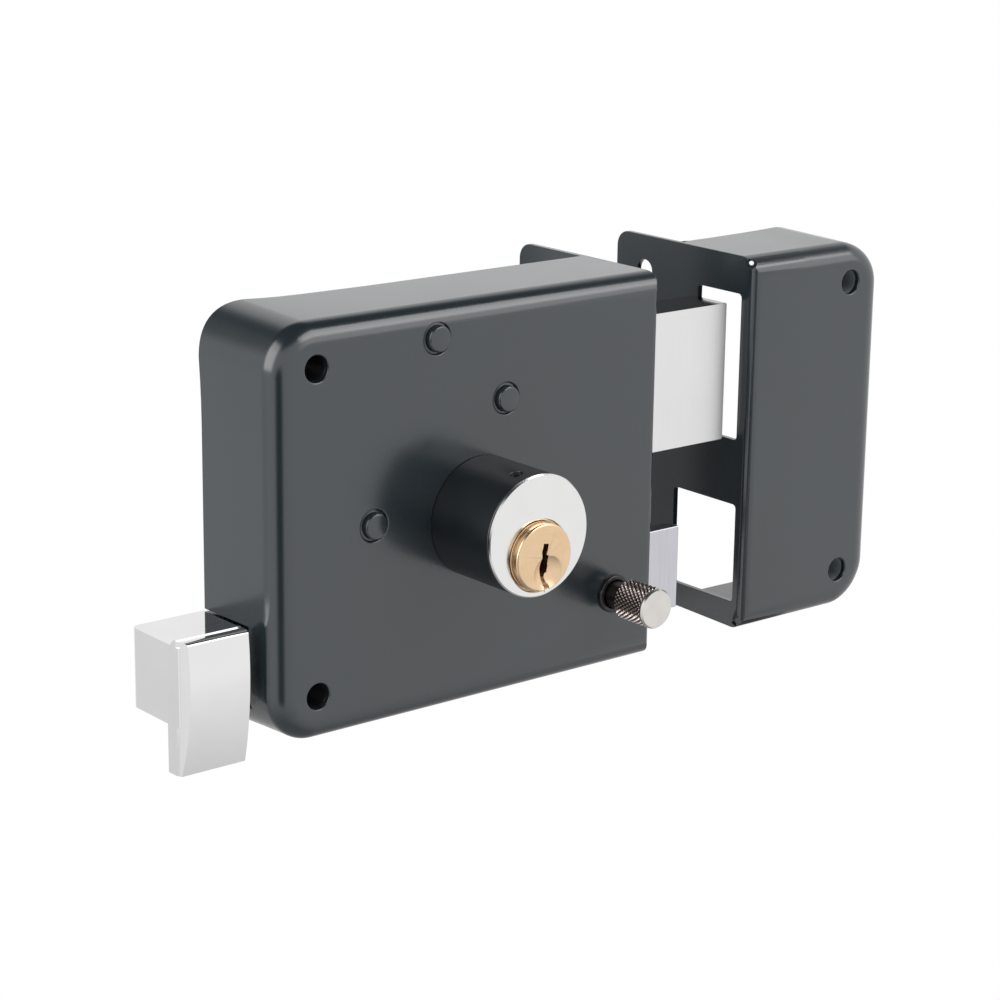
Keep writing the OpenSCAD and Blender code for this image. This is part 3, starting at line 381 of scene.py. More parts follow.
# %% Paints
grey_paint = (0.015, 0.023, 0.028)
case_paint = new_finish(
    "case_paint", scaled(grey_paint, 0.93), scaled(grey_paint, 1.07), (0.19, 0.23),
    paint_skin, {"Scale": 1100.0}, 0.04, metal=0.0, patches=40.0, specular=1.0)
collar_paint = new_finish(
    "collar_paint", (0.005, 0.008, 0.010), (0.008, 0.011, 0.013), (0.28, 0.34),
    paint_skin, {"Scale": 1500.0}, 0.04, metal=0.0, patches=120.0, specular=1.0)
ring_black = new_finish(
    "ring_black", (0.010, 0.011, 0.012), (0.016, 0.016, 0.017), (0.12, 0.2),
    paint_skin, {"Scale": 2000.0}, 0.05, metal=0.0, patches=200.0)
print("paints:", case_paint.name, collar_paint.name, ring_black.name)

# %% Plated and polished metals
bright_chrome = new_finish(
    "bright_chrome", (0.77, 0.77, 0.77), (0.81, 0.81, 0.81), (0.05, 0.10),
    paint_skin, {"Scale": 350.0}, 0.05, patches=80.0)
face_chrome = new_finish(
    "face_chrome", (0.76, 0.76, 0.755), (0.82, 0.82, 0.815), (0.12, 0.2),
    lathe_rings, {"Centre": on_axis(CYLINDER), "Fineness": 4000.0}, 0.05, patches=160.0, streak=0.3)
knob_nickel = new_finish(
    "knob_nickel", (0.62, 0.58, 0.55), (0.76, 0.74, 0.71), (0.16, 0.28),
    lathe_rings, {"Centre": on_axis(KNOB), "Fineness": 5000.0}, 0.06, patches=300.0, streak=0.4)
# painted shade: dark low in the knurl's grooves, pale on the pyramids
knurl_nickel = new_finish(
    "knurl_nickel", (0.10, 0.062, 0.057), (0.90, 0.80, 0.76), (0.42, 0.24),
    groove_shade, {"Centre": on_axis(KNOB), "Low": 0.00458, "High": 0.00487}, streak=1.0)
neck_brown = new_finish(
    "neck_brown", (0.11, 0.075, 0.075), (0.20, 0.15, 0.15), (0.22, 0.34),
    lathe_rings, {"Centre": on_axis(KNOB), "Fineness": 5000.0}, 0.06, patches=300.0, streak=0.4)
plug_brass = new_finish(
    "plug_brass", (0.72, 0.48, 0.28), (0.86, 0.66, 0.44), (0.2, 0.32),
    lathe_rings, {"Centre": on_axis(PLUG), "Fineness": 4500.0}, 0.12, patches=260.0, streak=0.5)
print("polished metals:", bright_chrome.name, face_chrome.name, knob_nickel.name, plug_brass.name)

# %% [markdown]
# The ground steels differ in which way the belt ran, so each has its own stretch: fine
# across the grain and long along it. The deadbolt's top and bottom are polished finer, and
# their much darker colour is painted shade for the dark that they mirror. Zinc plate has a
# faint cloud, and the tubes around the screws are dull.

# %% Ground, rolled and zinc plated steel
bolt_steel = new_finish(
    "bolt_steel", (0.70, 0.70, 0.70), (0.84, 0.84, 0.84), (0.34, 0.44),
    grain, {"Stretch": (5200.0, 5200.0, 60.0)}, 0.08, patches=50.0, streak=0.7)
# painted shade: a much darker copy of the bolt's steel, for its top and bottom
bolt_top = new_finish(
    "bolt_top", (0.13, 0.13, 0.13), (0.17, 0.17, 0.17), (0.04, 0.08),
    grain, {"Stretch": (60.0, 5200.0, 5200.0)}, 0.01, patches=50.0, streak=0.5)
latch_steel = new_finish(
    "latch_steel", (0.46, 0.46, 0.50), (0.70, 0.69, 0.73), (0.14, 0.26),
    grain, {"Stretch": (3200.0, 3200.0, 45.0)}, 0.25, patches=50.0, streak=0.7)
mill_steel = new_finish(
    "mill_steel", (0.38, 0.385, 0.39), (0.52, 0.525, 0.53), (0.34, 0.5),
    grain, {"Stretch": (70.0, 2600.0, 2600.0)}, 0.15, patches=90.0, streak=0.5)
spring_steel = new_finish(
    "spring_steel", (0.42, 0.42, 0.43), (0.60, 0.60, 0.61), (0.2, 0.32),
    grain, {"Stretch": (2000.0, 2000.0, 2000.0)}, 0.08, patches=200.0, streak=0.4)
zinc_plate = new_finish(
    "zinc_plate", (0.56, 0.565, 0.575), (0.63, 0.625, 0.60), (0.30, 0.38),
    paint_skin, {"Scale": 1300.0}, 0.12, patches=110.0)
black_steel = new_finish(
    "black_steel", (0.010, 0.011, 0.012), (0.022, 0.023, 0.024), (0.3, 0.45),
    paint_skin, {"Scale": 1600.0}, 0.1, metal=0.0, patches=150.0)
tube_steel = new_finish(
    "tube_steel", (0.20, 0.22, 0.235), (0.27, 0.29, 0.305), (0.3, 0.45),
    paint_skin, {"Scale": 1600.0}, 0.1, metal=0.0, patches=150.0)
print(len(bpy.data.materials), "finishes")


# %% [markdown]
# ## Handing a piece over
# Every piece ends in the same way: it gets its finish, it stands for the solids of the
# frame that it replaces, and it rides on the body that carries it. A second finish comes
# after that, on faces picked by place.

# %% Hand over
def hand_over(piece, finish, body, slot, *replaced):
    piece.data.materials.clear()
    piece.data.materials.append(finish)
    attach(piece, body)
    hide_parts(*replaced)
    print(piece.name, "-", len(piece.data.polygons), "faces for", ", ".join(replaced))


def add_finish(piece, finish, belongs):
    """A second finish, for the faces whose corners pass a test."""
    piece.data.materials.append(finish)
    for face in piece.data.polygons:
        if belongs([drawn(piece.data.vertices[i].co) for i in face.vertices]):
            face.material_index = len(piece.data.materials) - 1


# %% [markdown]
# ## The case and the strike
# Both are deep drawn from one sheet. The press rounds the corners away from the flange and
# the edge around the front, and it leaves the sheet a little wider at its free rim, most of
# all where it was gathered round a corner. The flange side is only bent. A block is rounded
# in that order, its rim is pushed out, it is cut to the bend with a second block, and it is
# hollowed with a smaller copy of itself. The same recipe, mirrored, makes the strike.

# %% Sizes of the two covers
SHEET, HIGH, DEEP = 1.5, 96.0, 28.2
CASE_WIDE, STRIKE_WIDE, DOOR_GAP = 112.5, 45.0, 31.6
CORNER, FRONT_EDGE = 11, 5.2
FLANGE_START, FLANGE_BACK = 5.3, DEEP + 23.5
EDGE_SCREW_Y, EDGE_SCREW_IN, EDGE_SCREW_R = 40.9, 9.2, 2.8
SCREW_HOLE_R, POST_HOLE_R = 3.05, 3.7
SOFT_EDGE = 0.16


def on_case(x):
    return x


def on_strike(x):
    return DOOR_GAP - x


print("case", CASE_WIDE, "and strike", STRIKE_WIDE, "mm wide, both", HIGH, "mm high")

# %% [markdown]
# ### The rim and the front edges
# The outline of a drawn box isn't straight. The rim's push fades with the distance from the
# corner, so the walls get a few more rows of points first, where that fading bends. The
# bottom's front edge, and the strike's outer one, were drawn less and stay fuller.

# %% Flare the rim and swell the front
RIM_ROWS = (0, 5, 10, 16, 34)
NEAR_FADE, LONG_FADE = 16, 34
# per cover: all along the side, more near the corner, all along the top, more near the
# corner, and at the corner itself
FLARES = {CASE_WIDE: (0.5, 0.5, 0.35, 0.5, 0.7), STRIKE_WIDE: (0.35, 0.0, 0.3, 0.2, 0.0)}
SWELL_DOWN, SWELL_OUT = 1.4, 1.2
SWELL_DEEP, SWELL_REACH = 9, 7


def flare_rim(form, side, wide, back):
    """Pushes the rim out along the walls, and most at the two drawn corners."""
    side_all, side_near, top_all, top_near, gather = FLARES[wide]
    for row in RIM_ROWS:
        pick(form, "FACE", lambda c: True)
        for spot, across in (((0, 0, CORNER + row), (0, 0, 1)),
                             ((0, 0, HIGH - CORNER - row), (0, 0, 1)),
                             ((side(CORNER + row - wide), 0, 0), (1, 0, 0))):
            bpy.ops.mesh.select_all(action="SELECT")
            bpy.ops.mesh.bisect(plane_co=place(*spot), plane_no=across)
        done()
    left = side(-1) - side(0)
    for corner in form.data.vertices:
        spot = drawn(corner.co)
        if not near(spot.y, back):
            continue
        outwards = CORNER - abs(spot.x - side(-wide))
        upwards = CORNER - min(spot.z, HIGH - spot.z)
        up = 1 if spot.z > HIGH / 2 else -1
        near_side = max(0, 1 + min(0, upwards) / NEAR_FADE) ** 2
        near_top = max(0, 1 + min(0, outwards) / NEAR_FADE) ** 2
        push_side = side_all + side_near * near_side
        push_top = top_all * max(0, 1 + min(0, outwards) / LONG_FADE) + top_near * near_top
        if outwards > 0 and upwards > 0:
            turn = math.atan2(outwards, upwards)
            push = gather * math.sin(2 * turn) ** 2
            shift = Vector((left * math.sin(turn) * (push_side + push), 0,
                            up * math.cos(turn) * (push_top + push)))
        elif upwards <= 0:
            shift = Vector((left, 0, 0)) * push_side * (outwards > 0)
        else:
            shift = Vector((0, 0, up)) * push_top
        corner.co += shift / 1000


def swell(form, side, wide):
    """Fills the front edges of the bottom, and of the strike's outer side."""
    for corner in form.data.vertices:
        spot = drawn(corner.co)
        front = max(0, 1 - spot.y / SWELL_DEEP)
        low = max(0, 1 - spot.z / SWELL_REACH) * front * SWELL_DOWN
        out = (max(0, 1 - abs(spot.x - side(-wide)) / SWELL_REACH) * front * SWELL_OUT
               * (wide == STRIKE_WIDE))
        corner.co += Vector((side(-1) - side(0), 0, 0)) * out / 1000 - Vector((0, 0, low / 1000))


# %% The drawn form
def drawn_form(name, side, wide, bend, inset):
    """The outside of a pressed box, or with an inset the space inside it."""
    left, right = side(inset - wide), side(-inset)
    back = DEEP + (1 if inset else 0)
    form = start_block(name, (left, inset, inset), (right, back, HIGH - inset))
    round_edges(form, lambda c: all(near(p.x, left) for p in c) and near(c[0].z, c[1].z),
                CORNER - inset, 16)
    round_edges(form, lambda c: (all(near(p.y, inset) for p in c)
                                 and not all(near(p.x, right) for p in c)),
                FRONT_EDGE - inset, 12)
    flare_rim(form, side, wide, back)
    swell(form, side, wide)
    mould = start_block("bend", (side(-wide - 9), inset, -5), (right, back + 5, HIGH + 5))
    round_edges(mould, lambda c: all(near(p.y, inset) and near(p.x, right) for p in c),
                bend - inset, 8)
    combine(form, mould, "INTERSECT")
    return form


# %% The flange and what is punched through it
def punch(piece, x, z, radius):
    combine(piece, start_rod("punch", (x, -2, z), (x, 4, z), radius))


def rolled_punch(piece, x, z, radius, lip=0.45):
    """A hole whose front edge is rolled in a little by the punch."""
    outline = [(0, -1), (radius + lip + 0.6, -1), (radius + lip, -0.001)]
    outline += arc(radius + lip, lip, lip, -90, -180, 5)[1:] + [(radius, 4), (0, 4)]
    combine(piece, turned("rolled punch", (x, z), outline, 64))


def pressed_cover(name, side, wide, bend, doorways):
    """A drawn box with its flange, its hollow, its edge screws' holes and its doorways."""
    cover = drawn_form(name, side, wide, bend, 0)
    flange = start_block("flange", (side(-SHEET), FLANGE_START, 0), (side(0), FLANGE_BACK, HIGH))
    round_edges(flange, lambda c: (all(near(p.y, FLANGE_BACK) for p in c)
                                   and near(c[0].z, c[1].z)), 4, 8)
    combine(cover, flange, "UNION")
    combine(cover, drawn_form("hollow", side, wide, bend, SHEET))
    for z in (EDGE_SCREW_IN, HIGH - EDGE_SCREW_IN):
        combine(cover, start_rod("edge screw", (side(-4), EDGE_SCREW_Y, z),
                                 (side(2), EDGE_SCREW_Y, z), EDGE_SCREW_R, 48))
    for low, high, corner in doorways:
        door = start_block("doorway", (side(-4), *low), (side(2), *high))
        round_edges(door, lambda c: near(c[0].y, c[1].y) and near(c[0].z, c[1].z), corner, 3)
        combine(cover, door)
    return cover


# %% The case
case_cover = pressed_cover("case_cover", on_case, CASE_WIDE, 2.3, [
    ((6.3, 48.95), (19, 84.65), 0.5), ((6.65, 7.05), (22.65, 29.15), 0.5)])
for z in (10.15, 85.85):
    rolled_punch(case_cover, -101.1, z, SCREW_HOLE_R)
POSTS = [(-67.8, 88.5), (-47.5, 71.8), (-85.5, 47.6)]
for x, z in POSTS:
    rolled_punch(case_cover, x, z, POST_HOLE_R)
punch(case_cover, *CYLINDER, 12.8)
punch(case_cover, *KNOB, 4.6)
combine(case_cover, start_block("pull doorway", (-118, 10.85, 6.45), (-108.25, 32, 26.05)))
soften(case_cover, SOFT_EDGE)
hand_over(case_cover, case_paint, "lock_body", "case_paint", "case_shell")

# %% [markdown]
# The strike's sheet has a small relief hole at each end of its bend, which keeps the metal
# from tearing there. It comes after the bevel, because a bevel can't follow the thin wall
# that the hole leaves at the edge, and so the strike is smoothed once more.

# %% The strike
RELIEF_IN, RELIEF_Y = 1.6, 1.7
strike_cover = pressed_cover("strike_cover", on_strike, STRIKE_WIDE, 2.5, [
    ((4.8, 48.8), (20.5, 86.3), 1), ((4.2, 6.2), (27.1, 31.9), 1)])
for z in (9.65, 86.35):
    rolled_punch(strike_cover, 65.6, z, SCREW_HOLE_R)
soften(strike_cover, SOFT_EDGE)
for z in (RELIEF_IN, HIGH - RELIEF_IN):
    relief = Vector((DOOR_GAP, RELIEF_Y, z))
    inwards = Vector((1, 1, 0))
    combine(strike_cover, start_rod("relief", relief - inwards * 4,
                                    relief + inwards * 0.95, 1.35, 32))
    combine(strike_cover, start_rod("relief", relief, relief + inwards * 4, 0.62, 32))
smooth(strike_cover, 20)
hand_over(strike_cover, case_paint, "lock_body", "case_paint", "strike_shell")

# %% [markdown]
# ## The posts' riveted heads
# Three posts are riveted through the front before it is painted. Each head stands a little
# out of its hole, and the gap around it, where the hole's edge is rolled in, draws a dark
# circle. A post is turned once, and the other two are copies with their own mesh.

# %% Turn a post and copy it
first_post = turned("front_posts_painted", POSTS[0], [
    (0, -1.3), (2.75, -1.3), (3.08, -0.95), (3.12, 0.5), (3.69, 0.5), (3.69, 1.5),
    (3.1, 1.5), (3.1, 26.7), (1.53, 26.7), (1.53, 19.2), (0, 19.2)], 64)
apply_modifier(first_post, "BEVEL", width=0.00012, segments=2, limit_method="ANGLE",
               angle_limit=math.radians(30))
smooth(first_post)
posts = [first_post]
for axis in POSTS[1:]:
    post = first_post.copy()
    post.data = first_post.data.copy()
    bpy.context.collection.objects.link(post)
    post.data.transform(Matrix.Translation(on_axis(axis) - on_axis(POSTS[0])))
    posts.append(post)
only(first_post)
for post in posts:
    post.select_set(True)
bpy.ops.object.join()
hand_over(first_post, case_paint, "lock_body", "case_paint", "front_posts")

# %% [markdown]
# ## The collar
# A steel tube in half gloss black paint. Its rim is slightly round, and the set screw's hole
# near its top has a soft mouth where the paint ran over the edge.

# %% Turn the collar and drill it
COLLAR_R, BORE_R = 14.44, 12.73
SCREW_LEAN = math.radians(12.4)
collar = turned("collar", CYLINDER,
                [(BORE_R, -0.15), (BORE_R, -19.06), (13.43, -19.06), (13.43, -20.66)]
                + arc(COLLAR_R - 0.3, -20.36, 0.3, -90, 0, 4)
                + arc(COLLAR_R - 0.4, -0.4, 0.4, 0, 90, 5)
                + [(12.88, 0), (BORE_R, -0.15)], 128)
screw_way = Vector((-math.sin(SCREW_LEAN), 0, math.cos(SCREW_LEAN)))
screw_middle = Vector((CYLINDER[0], -16.6, CYLINDER[1]))
combine(collar, start_rod("set screw hole", screw_middle + screw_way * 10,
                          screw_middle + screw_way * 16, 1.53, 48))
soften(collar, 0.15, 2, 50)
hand_over(collar, collar_paint, "lock_body", "collar_paint", "cylinder_collar")

# %% [markdown]
# ## The plug
# The brass plug is turned, then broached for the key. The slot's zigzag is drawn from point
# to point and pushed through, and a ball shaped dish around its lower half leads the key in.

# %% Turn the plug
plug = turned("plug", PLUG, [(0, -23.5)] + arc(7.4, -22.9, 0.6, -90, 0, 6) + [
    (8, -21.3), (7.85, -21.2), (7.85, -21.05), (8, -20.95), (8, -19.64), (6.4, -19.64),
    (6.4, 12.1), (4, 12.1), (3.4, 12.1), (3.4, 13.1), (4, 13.1), (4, 15.65), (0, 15.65)])
combine(plug, start_block("square", (PLUG[0] - 2.6, 14.65, PLUG[1] - 2.6),
                          (PLUG[0] + 2.6, 18.65, PLUG[1] + 2.6)), "UNION")

# %% Broach and drill it
combine(plug, pushed_outline("key slot", PLUG, [
    (-0.25, 3.35), (1.15, 3.1), (0.85, 1.65), (0.45, 0.7), (1.2, 0.2), (1.35, -0.9),
    (1.65, -2.6), (1.5, -3.9), (0.85, -4.2), (0.6, -4.9), (1, -6.1), (1.75, -6.9), (2, -9),
    (0.3, -9), (0.35, -7), (0.1, -6.5), (-0.35, -4.7), (-0.8, -2.45), (-0.6, -0.3),
    (-0.8, 1.5), (-0.5, 2.35)], -25, 4.8))
bpy.ops.object.select_all(action="DESELECT")
bpy.ops.mesh.primitive_uv_sphere_add(
    segments=128, ring_count=64, radius=0.0085, rotation=(math.radians(90), 0, 0),
    location=place(PLUG[0] + 1.1, -30.8, PLUG[1] - 3.9))
dish = bpy.context.object
bpy.ops.object.transform_apply()
combine(plug, dish)
for y in range(-13, 4, 4):
    combine(plug, start_rod("pin bore", (PLUG[0], y, PLUG[1] + 0.85),
                            (PLUG[0], y, PLUG[1] + 8), 1.35, 32))
combine(plug, start_rod("cam screw bore", (PLUG[0], 12.5, PLUG[1]),
                        (PLUG[0], 20, PLUG[1]), 1.53, 32))
soften(plug, 0.1, 2, 40)
hand_over(plug, plug_brass, "key_plug", "plug_brass", "cylinder_plug")

# %% [markdown]
# ## The deadbolt and the latch
# Both are blocks of plated steel, ground on a belt. The deadbolt only needs its edges
# broken, a little more around its end, and its top and bottom get their own polish and a
# much darker colour, painted shade for the dark that they mirror. The latch is a full
# height lip with a narrower body behind it, and one cut with a slanting plane gives both
# their bevel.

# %% The deadbolt
BOLT_LOW, BOLT_HIGH = (-12, 6.65, 49.3), (28.5, 18.65, 84.3)
deadbolt = start_block("deadbolt", BOLT_LOW, BOLT_HIGH)
round_edges(deadbolt, lambda c: (all(near(p.x, BOLT_HIGH[0]) for p in c)
                                 and not all(near(p.y, BOLT_LOW[1]) for p in c)), 0.5, 4)
combine(deadbolt, start_block("step", (-13, 15.65, 48), (-2, 20, 86)))
for z in (57.15, 71.05):
    combine(deadbolt, start_rod("rivet bore", (-7, 10.65, z), (-7, 20, z), 2.03, 32))
soften(deadbolt, 0.06, 1)
hand_over(deadbolt, bolt_steel, "deadbolt", "brushed_bolt_steel", "deadbolt_block")
# painted shade: the top and bottom faces take the darker copy of the steel
add_finish(deadbolt, bolt_top, lambda c: (all(p.z > BOLT_HIGH[2] - 0.1 for p in c)
                                          or all(p.z < BOLT_LOW[2] + 0.1 for p in c)))

# %% The latch
LATCH_END = 14.9
latch = start_block("latch", (-16, 7, 7.4), (LATCH_END, 11, 28.8))
combine(latch, start_block("latch body", (-16, 7, 9.5), (LATCH_END, 22.3, 26)), "UNION")
pick(latch, "FACE", lambda c: True)
bpy.ops.mesh.bisect(plane_co=place(LATCH_END, 9.3, 0), plane_no=(1, 1, 0), use_fill=True,
                    clear_outer=True)
done()
combine(latch, start_block("lug", (-8.4, 3, 13), (-3, 8, 23)), "UNION")
combine(latch, start_rod("rod bore", (-17, 14, 18), (-9, 14, 18), 1.63, 32))
for x in (-12, -5):
    combine(latch, start_rod("rivet bore", (x, 17.1, 20.25), (x, 24, 20.25), 1.63, 32))
soften(latch, 0.3, 3)
hand_over(latch, latch_steel, "latch", "brushed_bolt_steel", "latch_bolt")

# %% [markdown]
# ## The pull
# The pull is one chromed casting. The pad's front is a slice of a very large cylinder, so
# that a finger rests in the light, and the arm behind it runs through the case's wall. The
# pad's top is a little lower in front, which leaves a narrow ridge along its back. Its front
# edge is well rounded at the top and barely at the bottom, and the arm's outer back edge is
# rounded too.

# %% The pad
PAD_LEFT, PAD_TOP, GROUND_TOP = -132.9, 27.3, 27.05
pull = start_block("pull", (PAD_LEFT, 5, -4.5), (-115.5, 13, PAD_TOP))
combine(pull, start_rod("pad curve", (-140, 97, 16.8), (-100, 97, 16.8), 91, 720), "INTERSECT")
pick(pull, "FACE", lambda c: True)
bpy.ops.mesh.bisect(plane_co=place(-120, 10.05, PAD_TOP), plane_no=(0, 31.8, 2), use_fill=True,
                    clear_outer=True)
bpy.ops.mesh.select_all(action="SELECT")
bpy.ops.mesh.bisect(plane_co=place(PAD_LEFT, 10.05, 0), plane_no=(-4.5, -0.4, 0), use_fill=True,
                    clear_outer=True)
done()
combine(pull, start_block("lowered top", (-134, 4, GROUND_TOP), (-114, 9.5, 28)))
round_edges(pull, lambda c: (all(near(p.z, GROUND_TOP) for p in c)
                             and all(p.y < 7.5 for p in c)), 1.4, 10)
round_edges(pull, lambda c: (all(p.y < 9.4 and p.z < 5 for p in c)
                             and near(c[0].z, c[1].z)), 0.3, 3)
print("the pad is", len(pull.data.polygons), "faces")

# %% The arm
ARM_LEFT, ARM_BACK = -132.75, 28.2
arm = start_block("arm", (ARM_LEFT, 8.5, 6.8), (-107.5, ARM_BACK, 25.7))
round_edges(arm, lambda c: all(near(p.x, ARM_LEFT) and near(p.y, ARM_BACK) for p in c), 2.0, 10)
apply_modifier(arm, "BEVEL", width=0.00012, segments=2, limit_method="ANGLE",
               angle_limit=math.radians(35))
combine(arm, start_block("arm's right", (-115.7, 5, 6), (-107, 11.2, 26.5)))
combine(pull, arm, "UNION")
combine(pull, start_block("slide slot", (-124.1, 22.2, 15.9), (-106, 24.4, 24.6)))
PULL_SCREW = (-116.5, 20.25)
combine(pull, start_rod("screw bore", (PULL_SCREW[0], 18.3, PULL_SCREW[1]),
                        (PULL_SCREW[0], 30, PULL_SCREW[1]), 1.7, 32))
combine(pull, turned("countersink", PULL_SCREW, [
    (0, 26.7), (1.7, 26.7), (3.2, 28.21), (3.2, 29), (0, 29)], 48))
smooth(pull, 30)
hand_over(pull, bright_chrome, "latch", "bright_chrome", "pull_handle")

# %% [markdown]
# ## The knurled knob
# A knurl is two sets of slanting grooves that cross, and what they leave standing are small
# pyramids. It starts as a drum of plain square faces. Poking each face and taking the old
# grid lines away leaves diamonds, and poking the diamonds outwards raises the pyramids.

# %% Knurl a drum
VALLEY_R, PYRAMID = 4.54, 0.46
COLUMNS, ROWS = 28, 6
KNURL_FRONT, KNURL_BACK = -15.0, -5.9
knob = start_rod("knob", (KNOB[0], KNURL_BACK, KNOB[1]), (KNOB[0], KNURL_FRONT, KNOB[1]),
                 VALLEY_R, COLUMNS)


def runs_along(corners):
    return abs(corners[0].y - corners[1].y) > 1


def on_grid(corner):
    """True for the drum's first grid points, which lie on its full radius."""
    return math.hypot(corner.x - KNOB[0], corner.z - KNOB[1]) > VALLEY_R - 0.005


def grid_line(corners):
    rim = near(corners[0].y, corners[1].y) and (near(corners[0].y, KNURL_FRONT)
                                                or near(corners[0].y, KNURL_BACK))
    return all(on_grid(corner) for corner in corners) and not rim


pick(knob, "EDGE", runs_along)
bpy.ops.mesh.subdivide(number_cuts=ROWS - 1)
done()
pick(knob, "FACE", lambda c: len(c) == 4)
bpy.ops.mesh.poke(offset=0.0)
done()
pick(knob, "EDGE", grid_line)
bpy.ops.mesh.dissolve_edges(use_verts=False)
done()
faces = pick(knob, "FACE", lambda c: len(c) in (3, 4))
bpy.ops.mesh.poke(offset=PYRAMID / 1000)
done()
print(faces, "pyramids")

# %% [markdown]
# The two ends are drawn out of the drum's flat faces. At the front a plain rim ends in a
# narrow chamfer, and at the back a shoulder leads into the bore for the neck.

# %% Finish the knob's two ends
def draw_end(start_y, rings):
    """Extrudes an end face from ring to ring, each a (radius, y)."""
    pick(knob, "FACE", lambda c: len(c) > 4 and all(near(p.y, start_y) for p in c))
    radius_from, y_from = VALLEY_R, start_y
    for radius_to, y_to in rings:
        bpy.ops.mesh.extrude_region_move(
            TRANSFORM_OT_translate={"value": (0, (y_to - y_from) / 1000, 0)})
        bpy.ops.transform.resize(value=(radius_to / radius_from,) * 3,
                                 center_override=on_axis(KNOB, y_to))
        radius_from, y_from = radius_to, y_to
    done()


draw_end(KNURL_FRONT, [(4.88, -15.05), (4.95, -15.5), (4.6, -16)])
draw_end(KNURL_BACK, [(4.25, -5.5), (1.53, -5.5), (1.53, -11.7)])
smooth(knob, 20)
hand_over(knob, knob_nickel, "hold_back_button", "knob_nickel", "button_knob")
add_finish(knob, knurl_nickel,
           lambda c: all(KNURL_FRONT - 0.01 <= p.y <= KNURL_BACK + 0.01 for p in c))

# %% [markdown]
# ## The ring around the button's neck
# A turned ring in gloss black, round on its outer edge and on its inner one. The two rounds
# give it its two thin circles of light.

# %% Turn the ring
ring = turned("ring", KNOB, [(3.5, 2.1), (3.5, -0.6)] + arc(3.9, -0.6, 0.4, 180, 270, 5)
              + arc(4.3, -0.55, 0.45, -90, 0, 6)
              + [(4.75, 0), (4.57, 0), (4.57, 1.5), (5.3, 1.5), (5.3, 2.1), (3.5, 2.1)])
smooth(ring, 50)
hand_over(ring, ring_black, "lock_body", "ring_black", "button_ring")

# %% [markdown]
# ## The latch's spring
# A round wire is swept round the rod by the Screw modifier, twelve turns in all. When the
# latch is drawn back the spring can't keep its length.

# %% Wind the spring
SPRING_START, CURLS = Vector((-48.35, 14, 18)), 12
SPRING_ROOM, WIRE_R, COIL_R = 32.2, 0.5, 3.4
bpy.ops.object.select_all(action="DESELECT")
bpy.ops.mesh.primitive_circle_add(vertices=12, radius=WIRE_R / 1000, location=(0, 0, 0))
coil = bpy.context.object
coil.name = "latch_spring_wound"
coil.data.transform(Matrix.Translation((COIL_R / 1000, 0, 0))
                    @ Matrix.Rotation(math.radians(90), 4, "X"))
apply_modifier(coil, "SCREW", axis="Z", angle=2 * math.pi,
               screw_offset=(SPRING_ROOM - 2 * WIRE_R) / CURLS / 1000,
               iterations=CURLS, steps=28, render_steps=28, use_merge_vertices=False)
coil.data.transform(Matrix.Translation(place(*(SPRING_START + Vector((WIRE_R, 0, 0)))))
                    @ Matrix.Rotation(math.radians(90), 4, "Y"))
pick(coil, "EDGE", lambda c: True)
bpy.ops.mesh.fill_holes(sides=0)
bpy.ops.mesh.select_all(action="SELECT")
bpy.ops.mesh.normals_make_consistent(inside=False)
done()
smooth(coil, 60)
hand_over(coil, spring_steel, "lock_body", "spring_steel", "latch_spring")
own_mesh(coil)

# %% [markdown]
# ## Everything that keeps its solid
# The remaining parts are flat, turned or bent so simply that their solids are already their
# true shapes. They only get their finish.

# %% Finish the remaining solids
FINISHES = {
    face_chrome: ["cylinder_body"],
    zinc_plate: ["back_plate", "cover_screws", "bolt_guide", "spring_bracket", "cylinder_nut",
                 "deadbolt_rivets", "cam_tongue", "latch_slide_rivets", "fork_pin",
                 "pull_screw", "latch_lever", "lever_nose_pin"],
    mill_steel: ["deadbolt_tail", "latch_slide", "spring_rod", "cam_screw"],
    spring_steel: ["bolt_detent_spring", "lever_clips", "driver_springs", "plug_clip",
                   "button_clip"],
    black_steel: ["case_screw_tubes", "collar_set_screw"],
    tube_steel: ["strike_screw_tubes"],
    plug_brass: ["driver_pins", "key_pins", "pin_cover"],
    neck_brown: ["button_spindle"],
}
for finish, names in FINISHES.items():
    for name in names:
        slots = nodes[name].material_slots
        for slot in slots:
            slot.material = finish
        if not slots:
            nodes[name].data.materials.append(finish)
print(sum(len(names) for names in FINISHES.values()), "solids finished")

# %% [markdown]
# ## The camera
# The photograph was taken from the left and a little above, with a long lens. Its place and
# lens were worked out from the case's edges.

# %% Place the camera
CAMERA_AT = (-0.33836, -0.50581, 0.17172)
TURN, DOWN, ROLL = -39.264, 15.588, 0.781
camera = bpy.data.objects.new("camera", bpy.data.cameras.new("camera"))
bpy.context.collection.objects.link(camera)
camera.data.lens = 98.75
camera.data.clip_start = 0.01
camera.matrix_world = (Matrix.Translation(CAMERA_AT)
                       @ Matrix.Rotation(math.radians(TURN), 4, "Z")
                       @ Matrix.Rotation(math.radians(90 - DOWN), 4, "X")
                       @ Matrix.Rotation(math.radians(ROLL), 4, "Z"))
bpy.context.scene.camera = camera
print("a", camera.data.lens, "mm lens, looking", DOWN, "degrees down")

# %% [markdown]
# ## The studio
# The lock hangs over a white floor, so far below that its shadow stays out of the picture,
# and the floor fades to plain white around that shadow. Gloss needs something to mirror, so
# the room is white at eye level, dimmer below and dark straight above, which draws the thin
# dark lines along the rounded edges. Three zones of the room are darker, where the
# photographed lock mirrors less light: low in front on the left, high behind and low behind
# on the left.

# %% Floor
def studio_rays(tree):
    """1 for rays from the camera and for what gloss and glass show, else 0."""
    rays = add_node(tree, "LightPath")
    seen = add_node(tree, "Math", {
        0: rays.outputs["Is Camera Ray"], 1: rays.outputs["Is Glossy Ray"]}, operation="ADD")
    return add_node(tree, "Math", {0: seen.outputs[0], 1: rays.outputs["Is Transmission Ray"]},
                    operation="ADD", use_clamp=True).outputs[0]


